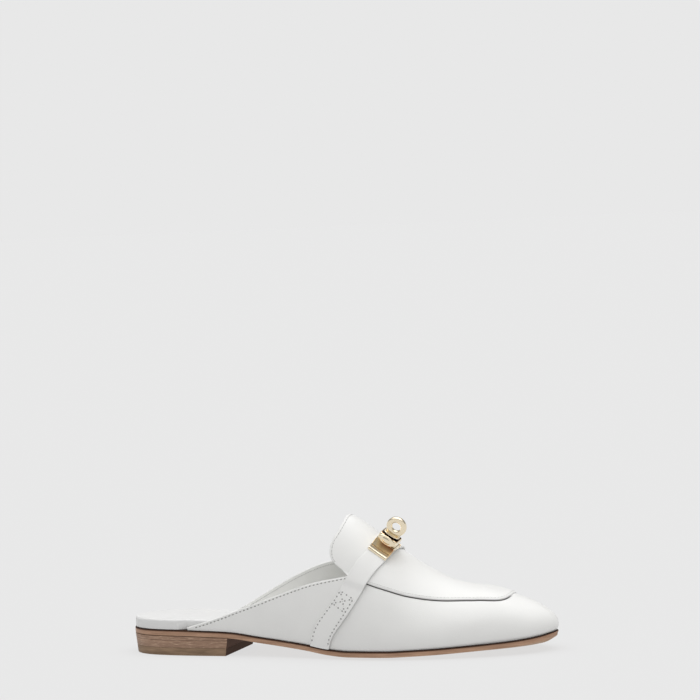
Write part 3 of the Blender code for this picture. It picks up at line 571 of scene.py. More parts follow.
class Nodes:
    """Short way to wire the nodes of a material or a world: each call gives an output socket."""

    def __init__(self, owner, shader="Principled BSDF", space="Object"):
        owner.use_nodes = True
        self.owner, self.tree = owner, owner.node_tree
        self.shader = self.tree.nodes[shader]
        self.place = self.add("TexCoord", space)

    def add(self, kind, output, inputs=(), **settings):
        """A new node's output, with its inputs linked or set."""
        node = self.tree.nodes.new("ShaderNode" + kind)
        for key, value in settings.items():
            setattr(node, key, value)
        for key, value in dict(inputs).items():
            self.set(node.inputs[key], value)
        return node.outputs[output]

    def set(self, socket, value):
        """Links the socket, or gives it a number or a colour."""
        if isinstance(value, bpy.types.NodeSocket):
            self.tree.links.new(value, socket)
        else:
            socket.default_value = (*value, 1) if socket.type == "RGBA" else value

    def noise(self, scale, detail=4, rough=0.55, stretch=None):
        inputs = {"Vector": self.place, "Scale": scale, "Detail": detail, "Roughness": rough}
        if stretch:
            inputs["Vector"] = self.add("Mapping", "Vector", {"Vector": self.place, "Scale": stretch})
        return self.add("TexNoise", "Fac", inputs)

    def mark(self, name):
        """The number that the mesh holds under this name."""
        return self.add("Attribute", "Fac", attribute_name=name)

    def part(self, vector, axis):
        return self.add("SeparateXYZ", axis, {"Vector": vector})

    def facing(self, axis):
        return self.part(self.add("NewGeometry", "True Normal"), axis)

    def ramp(self, value, *stops):
        color = self.add("ValToRGB", "Color", {"Fac": value})
        marks = color.node.color_ramp.elements
        while len(marks) < len(stops):
            marks.new(0.5)
        for mark, (at, level) in zip(marks, stops):
            mark.position, mark.color = at, (level, level, level, 1)
        return color

    def spread(self, value, low, high, start=0.0, end=1.0):
        """Goes from low to high where the value goes from start to end."""
        inputs = {"Value": value, "From Min": start, "From Max": end, "To Min": low, "To Max": high}
        return self.add("MapRange", "Result", inputs)

    def math(self, operation, a, b=0.0):
        return self.add("Math", 0, {0: a, 1: b}, operation=operation)

    def blend(self, share, a, b):
        """From colour a at share 0 to colour b at share 1."""
        return self.add("Mix", 2, {0: share, 6: a, 7: b}, data_type="RGBA")

    def lay(self, tone, color, most, value, start, end):
        """Lays the colour over the tone, by up to most, where the value goes from start to end."""
        return self.blend(self.spread(value, 0.0, most, start, end), tone, color)

    def bump(self, height, distance, strength):
        inputs = {"Height": height, "Distance": distance, "Strength": strength}
        return self.add("Bump", "Normal", inputs)

    def finish(self, **inputs):
        for key, value in inputs.items():
            self.set(self.shader.inputs[key.replace("_", " ")], value)
        return self.owner


def material(name):
    return Nodes(bpy.data.materials.new(name))


def smooth_leather(name, color, dark, roughness=0.40):
    """Finished calf leather: fine pores, soft pebbling, faint clouding and painted shade in the seam's groove where the
    mesh marks it.
    """
    n = material(name)
    tone = n.lay(color, dark, 0.55, n.noise(38, 3), 0.40, 0.72)
    tone = n.lay(tone, dark, 0.10, n.noise(900, 3), 0.45, 0.75)
    # Painted shade in the seam's groove, where the mesh marks it.
    tone = n.blend(n.mark("crease"), tone, CREASE_SHADE_COLOR)
    pebbles = n.add("TexVoronoi", "Distance", {"Vector": n.place, "Scale": 1500})
    height = n.math("ADD", n.math("MULTIPLY", pebbles, 0.7), n.math("MULTIPLY", n.noise(3600, 2), 0.3))
    rough = n.spread(n.noise(160, 4), roughness - 0.05, roughness + 0.07, 0.3, 0.7)
    return n.finish(
        Base_Color=tone, Roughness=rough, Normal=n.bump(height, 0.00006, 0.55), Specular_IOR_Level=0.42,
        Sheen_Weight=0.04, Sheen_Roughness=0.5,
    )


def matt_leather(name, color, dark):
    """Lining leather and thread: no finish on top, fine nap."""
    n = material(name)
    tone = n.lay(color, dark, 0.7, n.noise(60, 4), 0.35, 0.7)
    return n.finish(Base_Color=tone, Roughness=0.62, Normal=n.bump(n.noise(1400, 4), 0.00008, 0.5))


def stacked_leather(name, color, dark, pale, breast):
    """Burnished edge of stacked leather: fine level grain with dark and pale flecks, and painted shade on the breast,
    the faces turned towards the toe.
    """
    n = material(name)
    level = n.math("ADD", n.part(n.place, "Z"), n.math("MULTIPLY", n.noise(26, 3), 0.0007))
    streak = n.noise(1.0, 5, 0.7, (90, 90, 2200))
    broad = n.noise(1.0, 3, 0.5, (22, 22, 420))
    wave = n.math("FRACT", n.math("DIVIDE", level, LEATHER_LAYER))
    glue = n.math("MULTIPLY", n.ramp(wave, (0.0, 1.0), (0.09, 0.0), (0.88, 0.0), (1.0, 1.0)), n.spread(broad, 0.1, 0.7))
    tone = n.lay(dark, color, 1.0, streak, 0.35, 0.68)
    tone = n.lay(tone, dark, 0.35, broad, 0.42, 0.70)
    tone = n.lay(tone, dark, 0.75, n.noise(1.0, 4, 0.6, (420, 420, 1900)), 0.52, 0.72)
    tone = n.lay(tone, pale, 0.85, n.noise(1.0, 4, 0.6, (230, 230, 2600)), 0.54, 0.72)
    tone = n.blend(glue, tone, dark)
    # Painted shade: darker where the faces turn towards the toe, on the breast.
    breast_shade = n.spread(n.facing("X"), 0.0, 1.0, 0.55, 0.80)
    height = n.math("SUBTRACT", n.math("MULTIPLY", streak, 0.4), n.math("MULTIPLY", glue, 0.6))
    return n.finish(
        Base_Color=n.blend(breast_shade, tone, breast), Roughness=n.spread(streak, 0.55, 0.42),
        Normal=n.bump(height, 0.00014, 0.6), Specular_IOR_Level=n.spread(breast_shade, 0.28, 0.03),
    )


def edge_leather(name, color, dark, line, hide, scuffed):
    """Waxed cut edge of the sole, darker towards its top, with a painted shadow line along the top where the upper
    stands on it, and plain hide underneath.
    """
    n = material(name)
    streak = n.noise(1.0, 5, 0.6, (60, 60, 1300))
    tone = n.lay(dark, color, 1.0, streak, 0.3, 0.7)
    tone = n.lay(tone, dark, 0.5, n.noise(70, 4), 0.42, 0.72)
    # Darker towards the top of the wall, and above that the painted shadow line where the upper stands on the sole.
    tone = n.lay(tone, dark, 0.55, n.mark("wall"), 0.44, SHADOW_LINE_START)
    shadow_line = n.spread(n.mark("wall"), 0.0, 1.0, SHADOW_LINE_START, SHADOW_LINE_START + 0.02)
    tone = n.blend(shadow_line, tone, line)
    under = n.lay(hide, scuffed, 0.8, n.noise(130, 5), 0.35, 0.7)
    tone = n.blend(n.spread(n.facing("Z"), 1.0, 0.0, -0.85, -0.6), tone, under)
    return n.finish(
        Base_Color=tone, Roughness=n.spread(streak, 0.55, 0.42), Specular_IOR_Level=n.spread(shadow_line, 0.28, 0.05),
        Normal=n.bump(n.math("ADD", streak, n.noise(1100, 3)), 0.00010, 0.5),
    )


def gold_metal(name, color, worn, *recessed):
    """Polished plated metal, worn paler in patches, with painted reflection and shade where the mesh marks hollows:
    warm gold, then reddish brown, then near black.
    """
    n = material(name)
    wear, swirl = n.noise(420, 4), n.noise(1.0, 3, 0.6, (2600, 500, 2600))
    tone = n.lay(color, worn, 0.35, wear, 0.45, 0.7)
    # Painted reflection and shade: warm gold, then reddish brown, then near black as the mark grows.
    for shade, start, end in zip(recessed, (0.0, 0.2, 0.6), (0.2, 0.6, 1.0)):
        tone = n.lay(tone, shade, 1.0, n.mark("recess"), start, end)
    patches = n.math("ADD", n.math("MULTIPLY", wear, 0.6), n.math("MULTIPLY", swirl, 0.4))
    rough = n.spread(patches, 0.11, 0.25, 0.3, 0.7)
    return n.finish(Base_Color=tone, Roughness=rough, Normal=n.bump(swirl, 0.00001, 0.10), Metallic=1.0)


def plain_rubber(name, color, dark, breast):
    n = material(name)
    tone = n.lay(color, dark, 1.0, n.noise(1.0, 5, 0.6, (80, 80, 700)), 0.35, 0.68)
    # Painted shade: darker where the faces turn towards the toe, on the breast.
    breast_shade = n.spread(n.facing("X"), 0.0, 1.0, 0.55, 0.80)
    return n.finish(
        Base_Color=n.blend(breast_shade, tone, breast), Roughness=0.6, Specular_IOR_Level=n.spread(breast_shade, 0.3, 0.03),
        Normal=n.bump(n.noise(1300, 4), 0.00010, 0.6),
    )


WHITE = smooth_leather("white_calf", (0.735, 0.733, 0.718), (0.692, 0.690, 0.675))
STRAP_WHITE = smooth_leather("white_strap_calf", (0.745, 0.743, 0.729), (0.700, 0.698, 0.684), 0.38)
INSOLE_WHITE = smooth_leather("white_insole_calf", (0.675, 0.674, 0.667), (0.640, 0.639, 0.632), 0.48)
LINING = matt_leather("white_lining", (0.900, 0.900, 0.870), (0.840, 0.840, 0.810))
THREAD = matt_leather("white_thread", (0.56, 0.56, 0.54), (0.48, 0.48, 0.46))
# Painted shade for the needle holes and painted shadow under the stitches.
HOLE_SHADE = matt_leather("needle_hole_shade", (0.110, 0.107, 0.100), (0.070, 0.068, 0.062))
# The last colour is the painted shade on the breast.
STACKED = stacked_leather(
    "stacked_heel", (0.430, 0.275, 0.190), (0.215, 0.128, 0.084), (0.640, 0.460, 0.330), (0.080, 0.040, 0.026)
)
# The third colour is the painted shadow line along the top of the sole's edge.
SOLE_EDGE = edge_leather(
    "sole_edge", (0.560, 0.355, 0.240), (0.290, 0.165, 0.103), (0.045, 0.022, 0.014), (0.42, 0.27, 0.16),
    (0.33, 0.20, 0.12),
)
# The last colour is the painted shade on the breast.
TOP_PIECE = plain_rubber("top_piece", (0.285, 0.188, 0.118), (0.165, 0.105, 0.062), (0.060, 0.034, 0.024))
# The last three colours are painted reflection and shade in the marked hollows: warm gold, reddish brown, near black.
GOLD = gold_metal(
    "pale_gold_metal", (0.90, 0.79, 0.60), (0.86, 0.72, 0.49), (1.0, 0.72, 0.36), (0.34, 0.115, 0.040),
    (0.012, 0.009, 0.006),
)


# Upper


class Sheet:
    """Surface patches with a thickness. Each key has an angle, a rise, an outer lift and how dark the painted shade in
    its groove is.
    """

    def __init__(self):
        self.index, self.rows, self.faces = {}, [], []

    def point(self, key, angle, rise, lift=0.0, crease=0.0):
        if key not in self.index:
            self.index[key] = len(self.rows)
            self.rows.append((angle, rise, lift, crease))
        return key

    def face(self, *keys):
        ring = [self.index[k] for k in keys]
        ring = [v for i, v in enumerate(ring) if v != ring[i - 1]]
        if len(ring) > 2:
            self.faces.append(tuple(ring))

    def solid(self):
        """Points, faces, each face's side (0 outside or edge, 1 inside) and marks of painted shade in the seam's
        groove, with a half-round rim.
        """
        angle, rise, lift, crease = np.array(self.rows).T
        outer = upper_point(angle, rise, lift + relief(angle, rise))
        inside = upper_point(angle, rise, -UPPER_WALL)
        count = len(outer)
        owner = {(f[i - 1], f[i]): f for f in self.faces for i in range(len(f))}
        rim = [(a, b) for a, b in owner if (b, a) not in owner]
        away, along, free = np.zeros((count, 3)), np.zeros((count, 3)), np.ones((count, 1))
        for a, b in rim:
            for v in (a, b):
                away[v] += (outer[a] + outer[b]) / 2 - outer[list(owner[a, b])].mean(0)
                along[v] += outer[b] - outer[a]
            if max(rise[a], rise[b]) < 1e-6:
                free[[a, b]] = 0.0
        where = sorted({v for pair in rim for v in pair})
        for axis in (along[where], outer[where] - inside[where]):
            axis = unit(axis)
            away[where] -= axis * (away[where] * axis).sum(1, keepdims=True)
        away = unit(away[where]) * free[where]
        strips = []
        for turn in np.linspace(0, np.pi, RIM_STEPS + 1)[1:-1]:
            share = (1 - math.cos(turn)) / 2
            arc = outer[where] * (1 - share) + inside[where] * share
            strips.append(arc + away * RIM_BULGE * math.sin(turn))
        place = {v: 2 * count + i for i, v in enumerate(where)}

        def at(v, step):
            if step in (0, RIM_STEPS):
                return v + (count if step else 0)
            return place[v] + (step - 1) * len(where)

        faces = self.faces + [tuple(count + v for v in reversed(f)) for f in self.faces]
        for step in range(RIM_STEPS):
            faces += [(at(b, step), at(a, step), at(a, step + 1), at(b, step + 1)) for a, b in rim]
        kinds = [0] * len(self.faces) + [1] * len(self.faces) + [0] * len(rim) * RIM_STEPS
        dark = np.concatenate([crease, crease, np.zeros(len(where) * len(strips))])
        return np.concatenate([outer, inside, *strips]), faces, kinds, dark


def relief(angle, rise):
    """Soft troughs and swellings of the worn-in leather, in the shoe's own sizes."""
    station = station_of(edge(angle, FEATHER_INSET)[..., 0])
    at, spread, height, reach, depth = np.array(DENTS).T
    away = ((station[:, None] - at) / spread) ** 2 + ((rise[:, None] - height) / reach) ** 2
    return (depth * np.exp(-away)).sum(-1) * (rise > 1e-6) * np.where(angle <= np.pi, 1.0, MEDIAL_RELIEF)


def make_upper():
    sheet = Sheet()
    notch_x, front = x_of(NOTCH_STATION), x_of(SPINE_FRONT_STATION)
    crest_last = FINE_QUARTER + FINE_BODY
    last = crest_last + FINE_TOE
    for lateral in (True, False):

        def band(left, right):
            """Faces between two columns, turned the same way on both sides of the shoe."""
            for ring in zip(left, right, right[1:], left[1:]):
                sheet.face(*(ring if lateral else ring[::-1]))

        tip = notch_x - (QUARTER_LENGTH if lateral else MEDIAL_QUARTER_LENGTH)
        quarter = angle_of(np.linspace(tip, notch_x, FINE_QUARTER + 1)[:-1], lateral)
        body = angle_of(np.linspace(notch_x, front, FINE_BODY + 1)[:-1], lateral)
        angles = np.concatenate([quarter, body, np.linspace(angle_of(front, lateral), np.pi, FINE_TOE + 1)])
        seams = seam_rise(angles)
        tops = np.where(np.arange(last + 1) < FINE_QUARTER, topline_rise(edge(angles)[:, 0], lateral), seams)
        steps = rise_per_metre(angles, seams)
        walls, apron = [], []
        for number, angle in enumerate(angles):
            name = "toe" if number == last else (number, lateral)
            # The seam's profile fades in over the first columns after the notch.
            fade = min(max((number - FINE_QUARTER) / SEAM_FADE_COLUMNS, 0.0), 1.0)
            ahead = float(ramp(station_of(edge(angle)[0]), SEAM_FRONT_START, SEAM_FRONT_END))
            widest = 0.5 * (1 - tops[number]) / SEAM_PROFILE[-1][0]
            step = min(steps[number] * (1 + ahead), widest) * fade
            fade = fade * (1 - ahead)
            reach = tops[number] + (0 if number < FINE_QUARTER else SEAM_PROFILE[0][0] * step)
            shares = np.linspace(0, 1, FINE_WALL + 1)
            walls.append([sheet.point(("wall", name, i), angle, reach * s) for i, s in enumerate(shares)])
            if number < FINE_QUARTER:
                continue
            keys = walls[-1][-1:]
            # The third number of each step is how dark the painted shade in the seam's groove is.
            for i, (along, lift, dark) in enumerate(SEAM_PROFILE[1:]):
                lift = lift if lift > 0 else lift * fade
                keys.append(sheet.point(("seam", name, i), angle, tops[number] + along * step, lift, dark * fade))
            start = tops[number] + SEAM_PROFILE[-1][0] * step
            for i, s in enumerate(np.linspace(0, 1, FINE_APRON + 1)[1:-1]):
                keys.append(sheet.point(("apron", name, i), angle, start + (1 - start) * s, APRON_STEP))
            top = min(number, crest_last)
            apron.append(keys + [sheet.point(("crest", top), angles[top], 1.0, APRON_STEP)])
        for columns in (walls, apron):
            for left, right in zip(columns, columns[1:]):
                band(left, right)

        start = float(seam_rise(angle_of(notch_x, lateral)))
        previous = first = apron[0][1:]
        rises = np.array([sheet.rows[sheet.index[k]][1] for k in first])
        shares = (rises - start) / (1 - start)
        for step in range(1, FINE_TONGUE + 1):
            keys = []
            for i, share in enumerate(shares):
                if share <= 1e-9:
                    keys.append(first[i])
                    continue
                on_crest = i == len(shares) - 1
                x = notch_x - TONGUE_REACH * float(_tongue_share(share)) * step / FINE_TONGUE
                key = ("tongue", step) if on_crest else ("tongue", step, i, lateral)
                rise = 1.0 if on_crest else rises[i]
                keys.append(sheet.point(key, angle_of(x, lateral or on_crest), rise, APRON_STEP))
            band(keys, previous)
            previous = keys
    points, faces, kinds, crease = sheet.solid()
    mesh = mesh_of("upper_shell", points, faces)
    add_piece(mesh, [WHITE, LINING], "upper", "upper_leather", sharp=0, kinds=kinds, crease=crease)


# Sole, heel and insole


def rounded_wall(radius_low, radius_high, steps=4):
    """Side wall with round corners: rows of insets, of levels (0 for the low one, 1 for the high) and of offsets."""
    turns = np.linspace(0, math.pi / 2, steps + 1)
    rising, falling = 1 - np.sin(turns), 1 - np.cos(turns)
    insets = np.concatenate([radius_low * rising, radius_high * falling])
    offsets = np.concatenate([radius_low * falling, -radius_high * rising])
    return insets, np.repeat([0, 1], steps + 1), offsets


def add_level_piece(name, node, slot, surface, stations, wall, levels, inset, low, high, crown=None, sharp=60):
    """Lofts rings across the shoe, each with an underside, right wall, top and left wall.

    stations: an angle for each ring and wall point. low, high: shares across the shoe of the points between the
    walls. The mark named wall grows from 0 at the wall's foot to 1 at its head.
    """
    back, level, offset = wall
    stations = np.concatenate([np.repeat(ROUND_END_ANGLES[:, None], len(back), axis=1), stations])
    sides = []
    for angles in (stations, 2 * np.pi - stations):

        def height(x):
            return np.where(level > 0, levels[1](x), levels[0](x)) + offset

        x = edge(angles)[..., 0]
        at = edge(angles, back + inset(x, height(x)))
        sides.append(np.concatenate([at, height(at[..., 0])[..., None]], -1))
    left, right = sides
    across, over = (np.array(shares)[None, :, None] for shares in (low, high))
    under = left[:, :1] * (1 - across) + right[:, :1] * across
    if crown:
        under[..., 2] = levels[0](under[..., 0]) - crown(under[..., 0], across[..., 0])
    above = right[:, -1:] * (1 - over) + left[:, -1:] * over
    rings = np.concatenate([under, right, above, left[:, ::-1]], axis=1)
    share = np.linspace(0, 1, len(back))
    marks = np.concatenate([np.zeros(len(low)), share, np.ones(len(high)), share[::-1]])
    mesh = mesh_of(name, rings.reshape(-1, 3), loft_faces(*rings.shape[:2]))
    add_piece(mesh, [surface], node, slot, sharp=sharp, wall=np.tile(marks, len(rings)))


def to_the_toe(stations, wall):
    """The stations for each wall point, closed by the round end at the toe."""
    stations = np.concatenate([stations, np.pi - ROUND_END_ANGLES[::-1]])
    return np.repeat(stations[:, None], len(wall[0]), axis=1)


def make_sole():
    def crown(x, share):
        return EDGE_RISE * _edge_share(station_of(x)) * (1 - ramp(abs(2 * share - 1), FLAT_SHARE, 1.0))

    wall = rounded_wall(SOLE_CORNER_RADIUS, SOLE_CORNER_RADIUS)
    add_level_piece(
        "leather_sole", "outsole", "sole_leather", SOLE_EDGE,
        to_the_toe(np.linspace(BLUNT_END, np.pi - BLUNT_END, 150), wall), wall,
        (sole_tread, lambda x: sole_underside(x) + SOLE_THICKNESS), lambda x, height: 0.0,
        (0.03, 0.08, 0.15, 0.22, 0.31, 0.4, 0.5, 0.6, 0.69, 0.78, 0.85, 0.92, 0.97), (0.1, 0.3, 0.5, 0.7, 0.9), crown,
    )


def make_heel():
    def level(height):
        return lambda x: np.full_like(x, height)

    def taper(x, height):
        return HEEL_TAPER * (1 - height / HEEL_SEAT_HEIGHT)

    def layer(name, node, slot, surface, low, high, radius):
        breast = -SOLE_LENGTH / 2 + HEEL_LENGTH
        wall = rounded_wall(radius, radius, 3)
        heights = np.array([float((low, high)[at](breast)) for at in wall[1]])
        ends = angle_of(breast - HEEL_BREAST_SLANT * (1 - heights / HEEL_SEAT_HEIGHT))
        stations = BLUNT_END + (ends - BLUNT_END) * np.linspace(0, 1, 70)[:, None]
        between = (0.25, 0.5, 0.75)
        add_level_piece(name, node, slot, surface, stations, wall, (low, high), taper, between, between)

    lift_low = TOP_PIECE_THICKNESS + GAP
    lift_high = lift_low + HEEL_LIFT_THICKNESS
    layer(
        "top_piece_rubber", "heel_top_piece", "top_piece_rubber", TOP_PIECE, level(0.0), level(TOP_PIECE_THICKNESS),
        TOP_PIECE_RADIUS,
    )
    layer(
        "stacked_lift", "heel_lift", "stacked_leather", STACKED, level(lift_low - LAYER_OVERLAP), level(lift_high),
        LIFT_RADIUS,
    )
    layer(
        "stacked_seat", "heel_seat_lift", "stacked_leather", STACKED, level(lift_high + GAP - LAYER_OVERLAP),
        lambda x: sole_underside(x) - GAP, SEAT_RADIUS,
    )


def make_insole():
    """The insole reaches the sole's edge behind the quarters and lies inside the upper in front of them."""
    tip = x_of(NOTCH_STATION) - QUARTER_LENGTH

    def inset(x, height):
        inside = FEATHER_INSET + UPPER_WALL + 2 * GAP
        step = ramp(x, tip - INSOLE_STEP_START, tip - INSOLE_STEP_END)
        return INSOLE_EDGE_INSET + (inside - INSOLE_EDGE_INSET) * step

    def top(x):
        fall = ramp(station_of(x), INSOLE_FALL_START, INSOLE_FALL_END)
        return seat_height(x) + INSOLE_THICKNESS + (INSOLE_FOREFOOT_THICKNESS - INSOLE_THICKNESS) * fall

    wall = rounded_wall(INSOLE_FOOT_RADIUS, INSOLE_EDGE_RADIUS, 6)
    stations = np.concatenate([np.linspace(BLUNT_END, 1.9, 120)[:-1], np.linspace(1.9, np.pi - BLUNT_END, 50)])
    add_level_piece(
        "wrapped_insole", "insole", "insole_leather", INSOLE_WHITE, to_the_toe(stations, wall), wall,
        (seat_height, top), inset, (0.5,), (0.06, 0.14, 0.25, 0.37, 0.5, 0.63, 0.75, 0.86, 0.94), sharp=70,
    )


# Strap


def make_strap():
    half, flat = STRAP_WIDTH / 2, STRAP_WIDTH / 2 - STRAP_EDGE_RADIUS
    ways = np.concatenate([[0.0], np.linspace(0.004, 1.996, 240), [2.0]])
    shares = np.array([0.0, 0.06, 0.16, 0.30, 0.5, 0.7, 0.84, 0.94, 1.0]) * 2 - 1
    turns = np.linspace(0, math.pi / 2, 5)
    arc = STRAP_EDGE_RADIUS * np.array([np.sin(turns), 1 - np.cos(turns)]).T
    foot, shoulder = arc[1:-1], arc[::-1] * (1, -1) + (0, STRAP_THICKNESS)
    wall = [(flat + out, up) for out, up in (*foot, *shoulder)]
    bottom = [(s * flat, 0.0) for s in shares]
    top = [(s * flat, STRAP_THICKNESS + STRAP_CROWN * (1 - s * s)) for s in shares[-2:0:-1]]
    across, up = np.array(bottom + wall + top + [(-out, up) for out, up in wall[::-1]]).T
    points = strap_point(ways[:, None], across, up).reshape(-1, 3)
    mesh = mesh_of("instep_strap", points, loft_faces(len(ways), len(across)))
    add_piece(mesh, [STRAP_WHITE], "strap", "strap_leather", sharp=70)


# Stitches


class Stitching:
    """Rows of thread stitches with needle holes between them drawn as dark lenses of painted shade, and where a shadow
    width is set, a painted shadow under each stitch.
    """

    def __init__(self, pitch, length, width, hole, shadow_width=0.0):
        self.pitch, self.length, self.width, self.hole, self.shadow_width = pitch, length, width, hole, shadow_width
        self.points, self.faces, self.kinds = [], [], []

    def bead(self, middle, axes, sizes, kind, rings=4, sides=8):
        """Closed bead of thread (kind 0), or a dark lens of painted shade for a needle hole or under a stitch (kind 1).
        """
        along, side, up = (axis * size for axis, size in zip(axes, sizes))
        t = np.linspace(-1, 1, rings + 1)[:, None, None]
        a = np.linspace(0, 2 * math.pi, sides + 1)[:-1, None]
        points = middle + along * t + (side * np.cos(a) + up * np.sin(a)) * np.maximum(1 - abs(t) ** 3, 0.02)
        faces = [tuple(len(self.points) + v for v in face) for face in loft_faces(rings + 1, sides)]
        self.points += list(points.reshape(-1, 3))
        self.faces += faces
        self.kinds += [kind] * len(faces)

    def row(self, points, normals):
        lengths = np.concatenate([[0], np.cumsum(np.linalg.norm(np.diff(points, axis=0), axis=1))])
        count = max(int(lengths[-1] / self.pitch), 1)

        def at(values, where):
            return np.stack([np.interp(where, lengths, values[:, i]) for i in range(3)], -1)

        def axes(mark):
            along = unit(at(points, mark + self.length / 2) - at(points, mark - self.length / 2))
            up = at(normals, mark)
            up = unit(up - along * (up @ along))
            return along, np.cross(along, up), up

        for k in range(count):
            mark = (k + 0.5) * lengths[-1] / count
            frame = axes(mark)
            sizes = (self.length / 2, self.width / 2, self.width * 0.4)
            self.bead(at(points, mark) + frame[2] * THREAD_LIFT, frame, sizes, 0, rings=6)
            # Painted shadow under the stitch.
            if self.shadow_width:
                self.bead(at(points, mark), frame, (self.length * 0.52, self.shadow_width, HOLE_DEPTH), 1)
        # Needle holes as dark lenses of painted shade.
        for k in range(count + 1):
            mark = np.clip(k / count, 0.01, 0.99) * lengths[-1]
            self.bead(at(points, mark), axes(mark), (self.hole, self.hole * 0.85, HOLE_DEPTH), 1)

    def upper_row(self, angles, rises, lift, side=1):
        self.row(upper_point(angles, rises, lift), last_normal(angles, rises) * side)

    def finish(self, name, slot):
        add_piece(mesh_of(name, self.points, self.faces), [THREAD, HOLE_SHADE], slot=slot, sharp=0, kinds=self.kinds)


def make_upper_stitches():
    topline = Stitching(pitch=0.0025, length=0.0015, width=0.00024, hole=0.00012, shadow_width=0.00036)
    lining = Stitching(pitch=0.0021, length=0.0014, width=0.00036, hole=0.00020)
    apron = Stitching(pitch=0.0021, length=0.0015, width=0.00030, hole=0.00013)
    tongue = Stitching(pitch=0.0021, length=0.0014, width=0.00030, hole=0.00016, shadow_width=0.00022)
    notch_x = x_of(NOTCH_STATION)
    for lateral in (True, False):
        length = QUARTER_LENGTH if lateral else MEDIAL_QUARTER_LENGTH
        xs = notch_x - np.linspace(length * 0.975, 0.0006, 200)
        angles = angle_of(xs, lateral)
        tops = topline_rise(xs, lateral)
        for row, inset, side in ((topline, TOPLINE_STITCH_INSET, 1), (lining, LINING_STITCH_INSET, -1)):
            rises = tops - inset * rise_per_metre(angles, tops)
            keep = rises > 0.02
            at, rises = angles[keep], rises[keep]
            row.upper_row(at, rises, relief(at, rises) if side > 0 else -UPPER_WALL, side)

        angles = np.linspace(float(angle_of(notch_x + 0.003, lateral)), np.pi, 260)
        rises = seam_rise(angles)
        rises = rises + APRON_STITCH_INSET * rise_per_metre(angles, rises)
        apron.upper_row(angles, rises, APRON_STEP + 0.00003)

        start = float(seam_rise(angle_of(notch_x, lateral)))
        shares = np.linspace(0.10, 1.0, 120)
        angles = angle_of(notch_x - TONGUE_REACH * _tongue_share(shares) + TONGUE_STITCH_INSET, lateral)
        tongue.upper_row(angles, np.minimum(start + (1 - start) * shares, 0.9999), APRON_STEP + 0.00002)
    topline.finish("topline_stitching", "upper_leather")
    lining.finish("lining_stitching", "upper_leather")
    apron.finish("apron_stitching", "upper_leather")
    tongue.finish("tongue_stitching", "upper_leather")


def make_strap_stitches():
    """Edge rows from the sole up to the box of stitches that holds the strap, and the box with its cross."""
    stitches = Stitching(pitch=0.0024, length=0.0011, width=0.00028, hole=0.00012, shadow_width=0.00042)
    half = STRAP_WIDTH / 2
    rear, low, high = STRAP_STITCH_INSET - half, half - STRAP_STITCH_INSET, half - STRAP_BOX_INSET
    ways = np.linspace(STRAP_STITCH_START, STRAP_BOX_TOP, 90)
    front = np.interp(ways, (STRAP_STITCH_START, STRAP_BOX_TOP), (low, high))
    level = np.linspace(rear, high, 12)
    share = np.linspace(0.06, 0.94, 20)
    cross = STRAP_BOX_BOTTOM + (STRAP_BOX_TOP - STRAP_BOX_BOTTOM) * share
    rows = ((ways, rear), (ways, front), (STRAP_BOX_TOP, level), (STRAP_BOX_BOTTOM, level))
    rows += ((cross, rear + (high - rear) * share), (cross, rear + (high - rear) * (1 - share)))
    for turned in (False, True):
        for way, across in rows:
            way, across = np.broadcast_arrays(2 - way if turned else way, across)
            lift = STRAP_THICKNESS + STRAP_CROWN * (1 - (across / half) ** 2)
            points = strap_point(way, across, lift)
            stitches.row(points, (strap_point(way, across, lift + 0.001) - points) / 0.001)
    stitches.finish("strap_stitching", "strap_leather")


# Clasp


def lathe(name, place, profile, segments=32, squash=(1.0, 1.0), power=1.0):
    """Closed shape turned about local Z: (radius, height) points, bottom to top. A power under 1 squares it off."""
    radius, height = np.array(profile).T
    turns = 2 * math.pi * (np.arange(segments) + 0.5) / segments
    x, y = (np.copysign(abs(v) ** power, v)[:, None] * radius for v in (np.cos(turns), np.sin(turns)))
    points = np.stack([x * squash[0], y * squash[1], height + 0 * x], -1)
    count = len(radius)
    faces = [f for f in loft_faces(segments, count, closed=True) if (f[0] + 1) % count]
    faces += [tuple(range(i, segments * count, count)) for i in (0, count - 1)]
    return mesh_of(name, points.reshape(-1, 3), faces, place)


def add_metal(name, node, first, others, is_dark, body="shoe"):
    """Gold piece from a first mesh with each (mesh, operation) joined to it or cut from it, with painted shade in its
    hollows.
    """
    base = linked(name, first)
    helpers = []
    for mesh, operation in others:
        helpers.append(linked(name + "_helper", mesh))
        step = base.modifiers.new(operation.lower(), "BOOLEAN")
        step.operation, step.solver, step.object = operation, "EXACT", helpers[-1]
    bpy.context.view_layer.update()
    graph = bpy.context.evaluated_depsgraph_get()
    result = bpy.data.meshes.new_from_object(base.evaluated_get(graph))
    for made in [base, *helpers]:
        bpy.data.objects.remove(made, do_unlink=True)
    result.name = name
    inverse = CLASP_PLACE.inverted()
    # Painted shade where is_dark marks the hollows.
    recess = [is_dark(inverse @ v.co) for v in result.vertices]
    add_piece(result, [GOLD], node, "pale_gold", body, sharp=40, recess=recess)


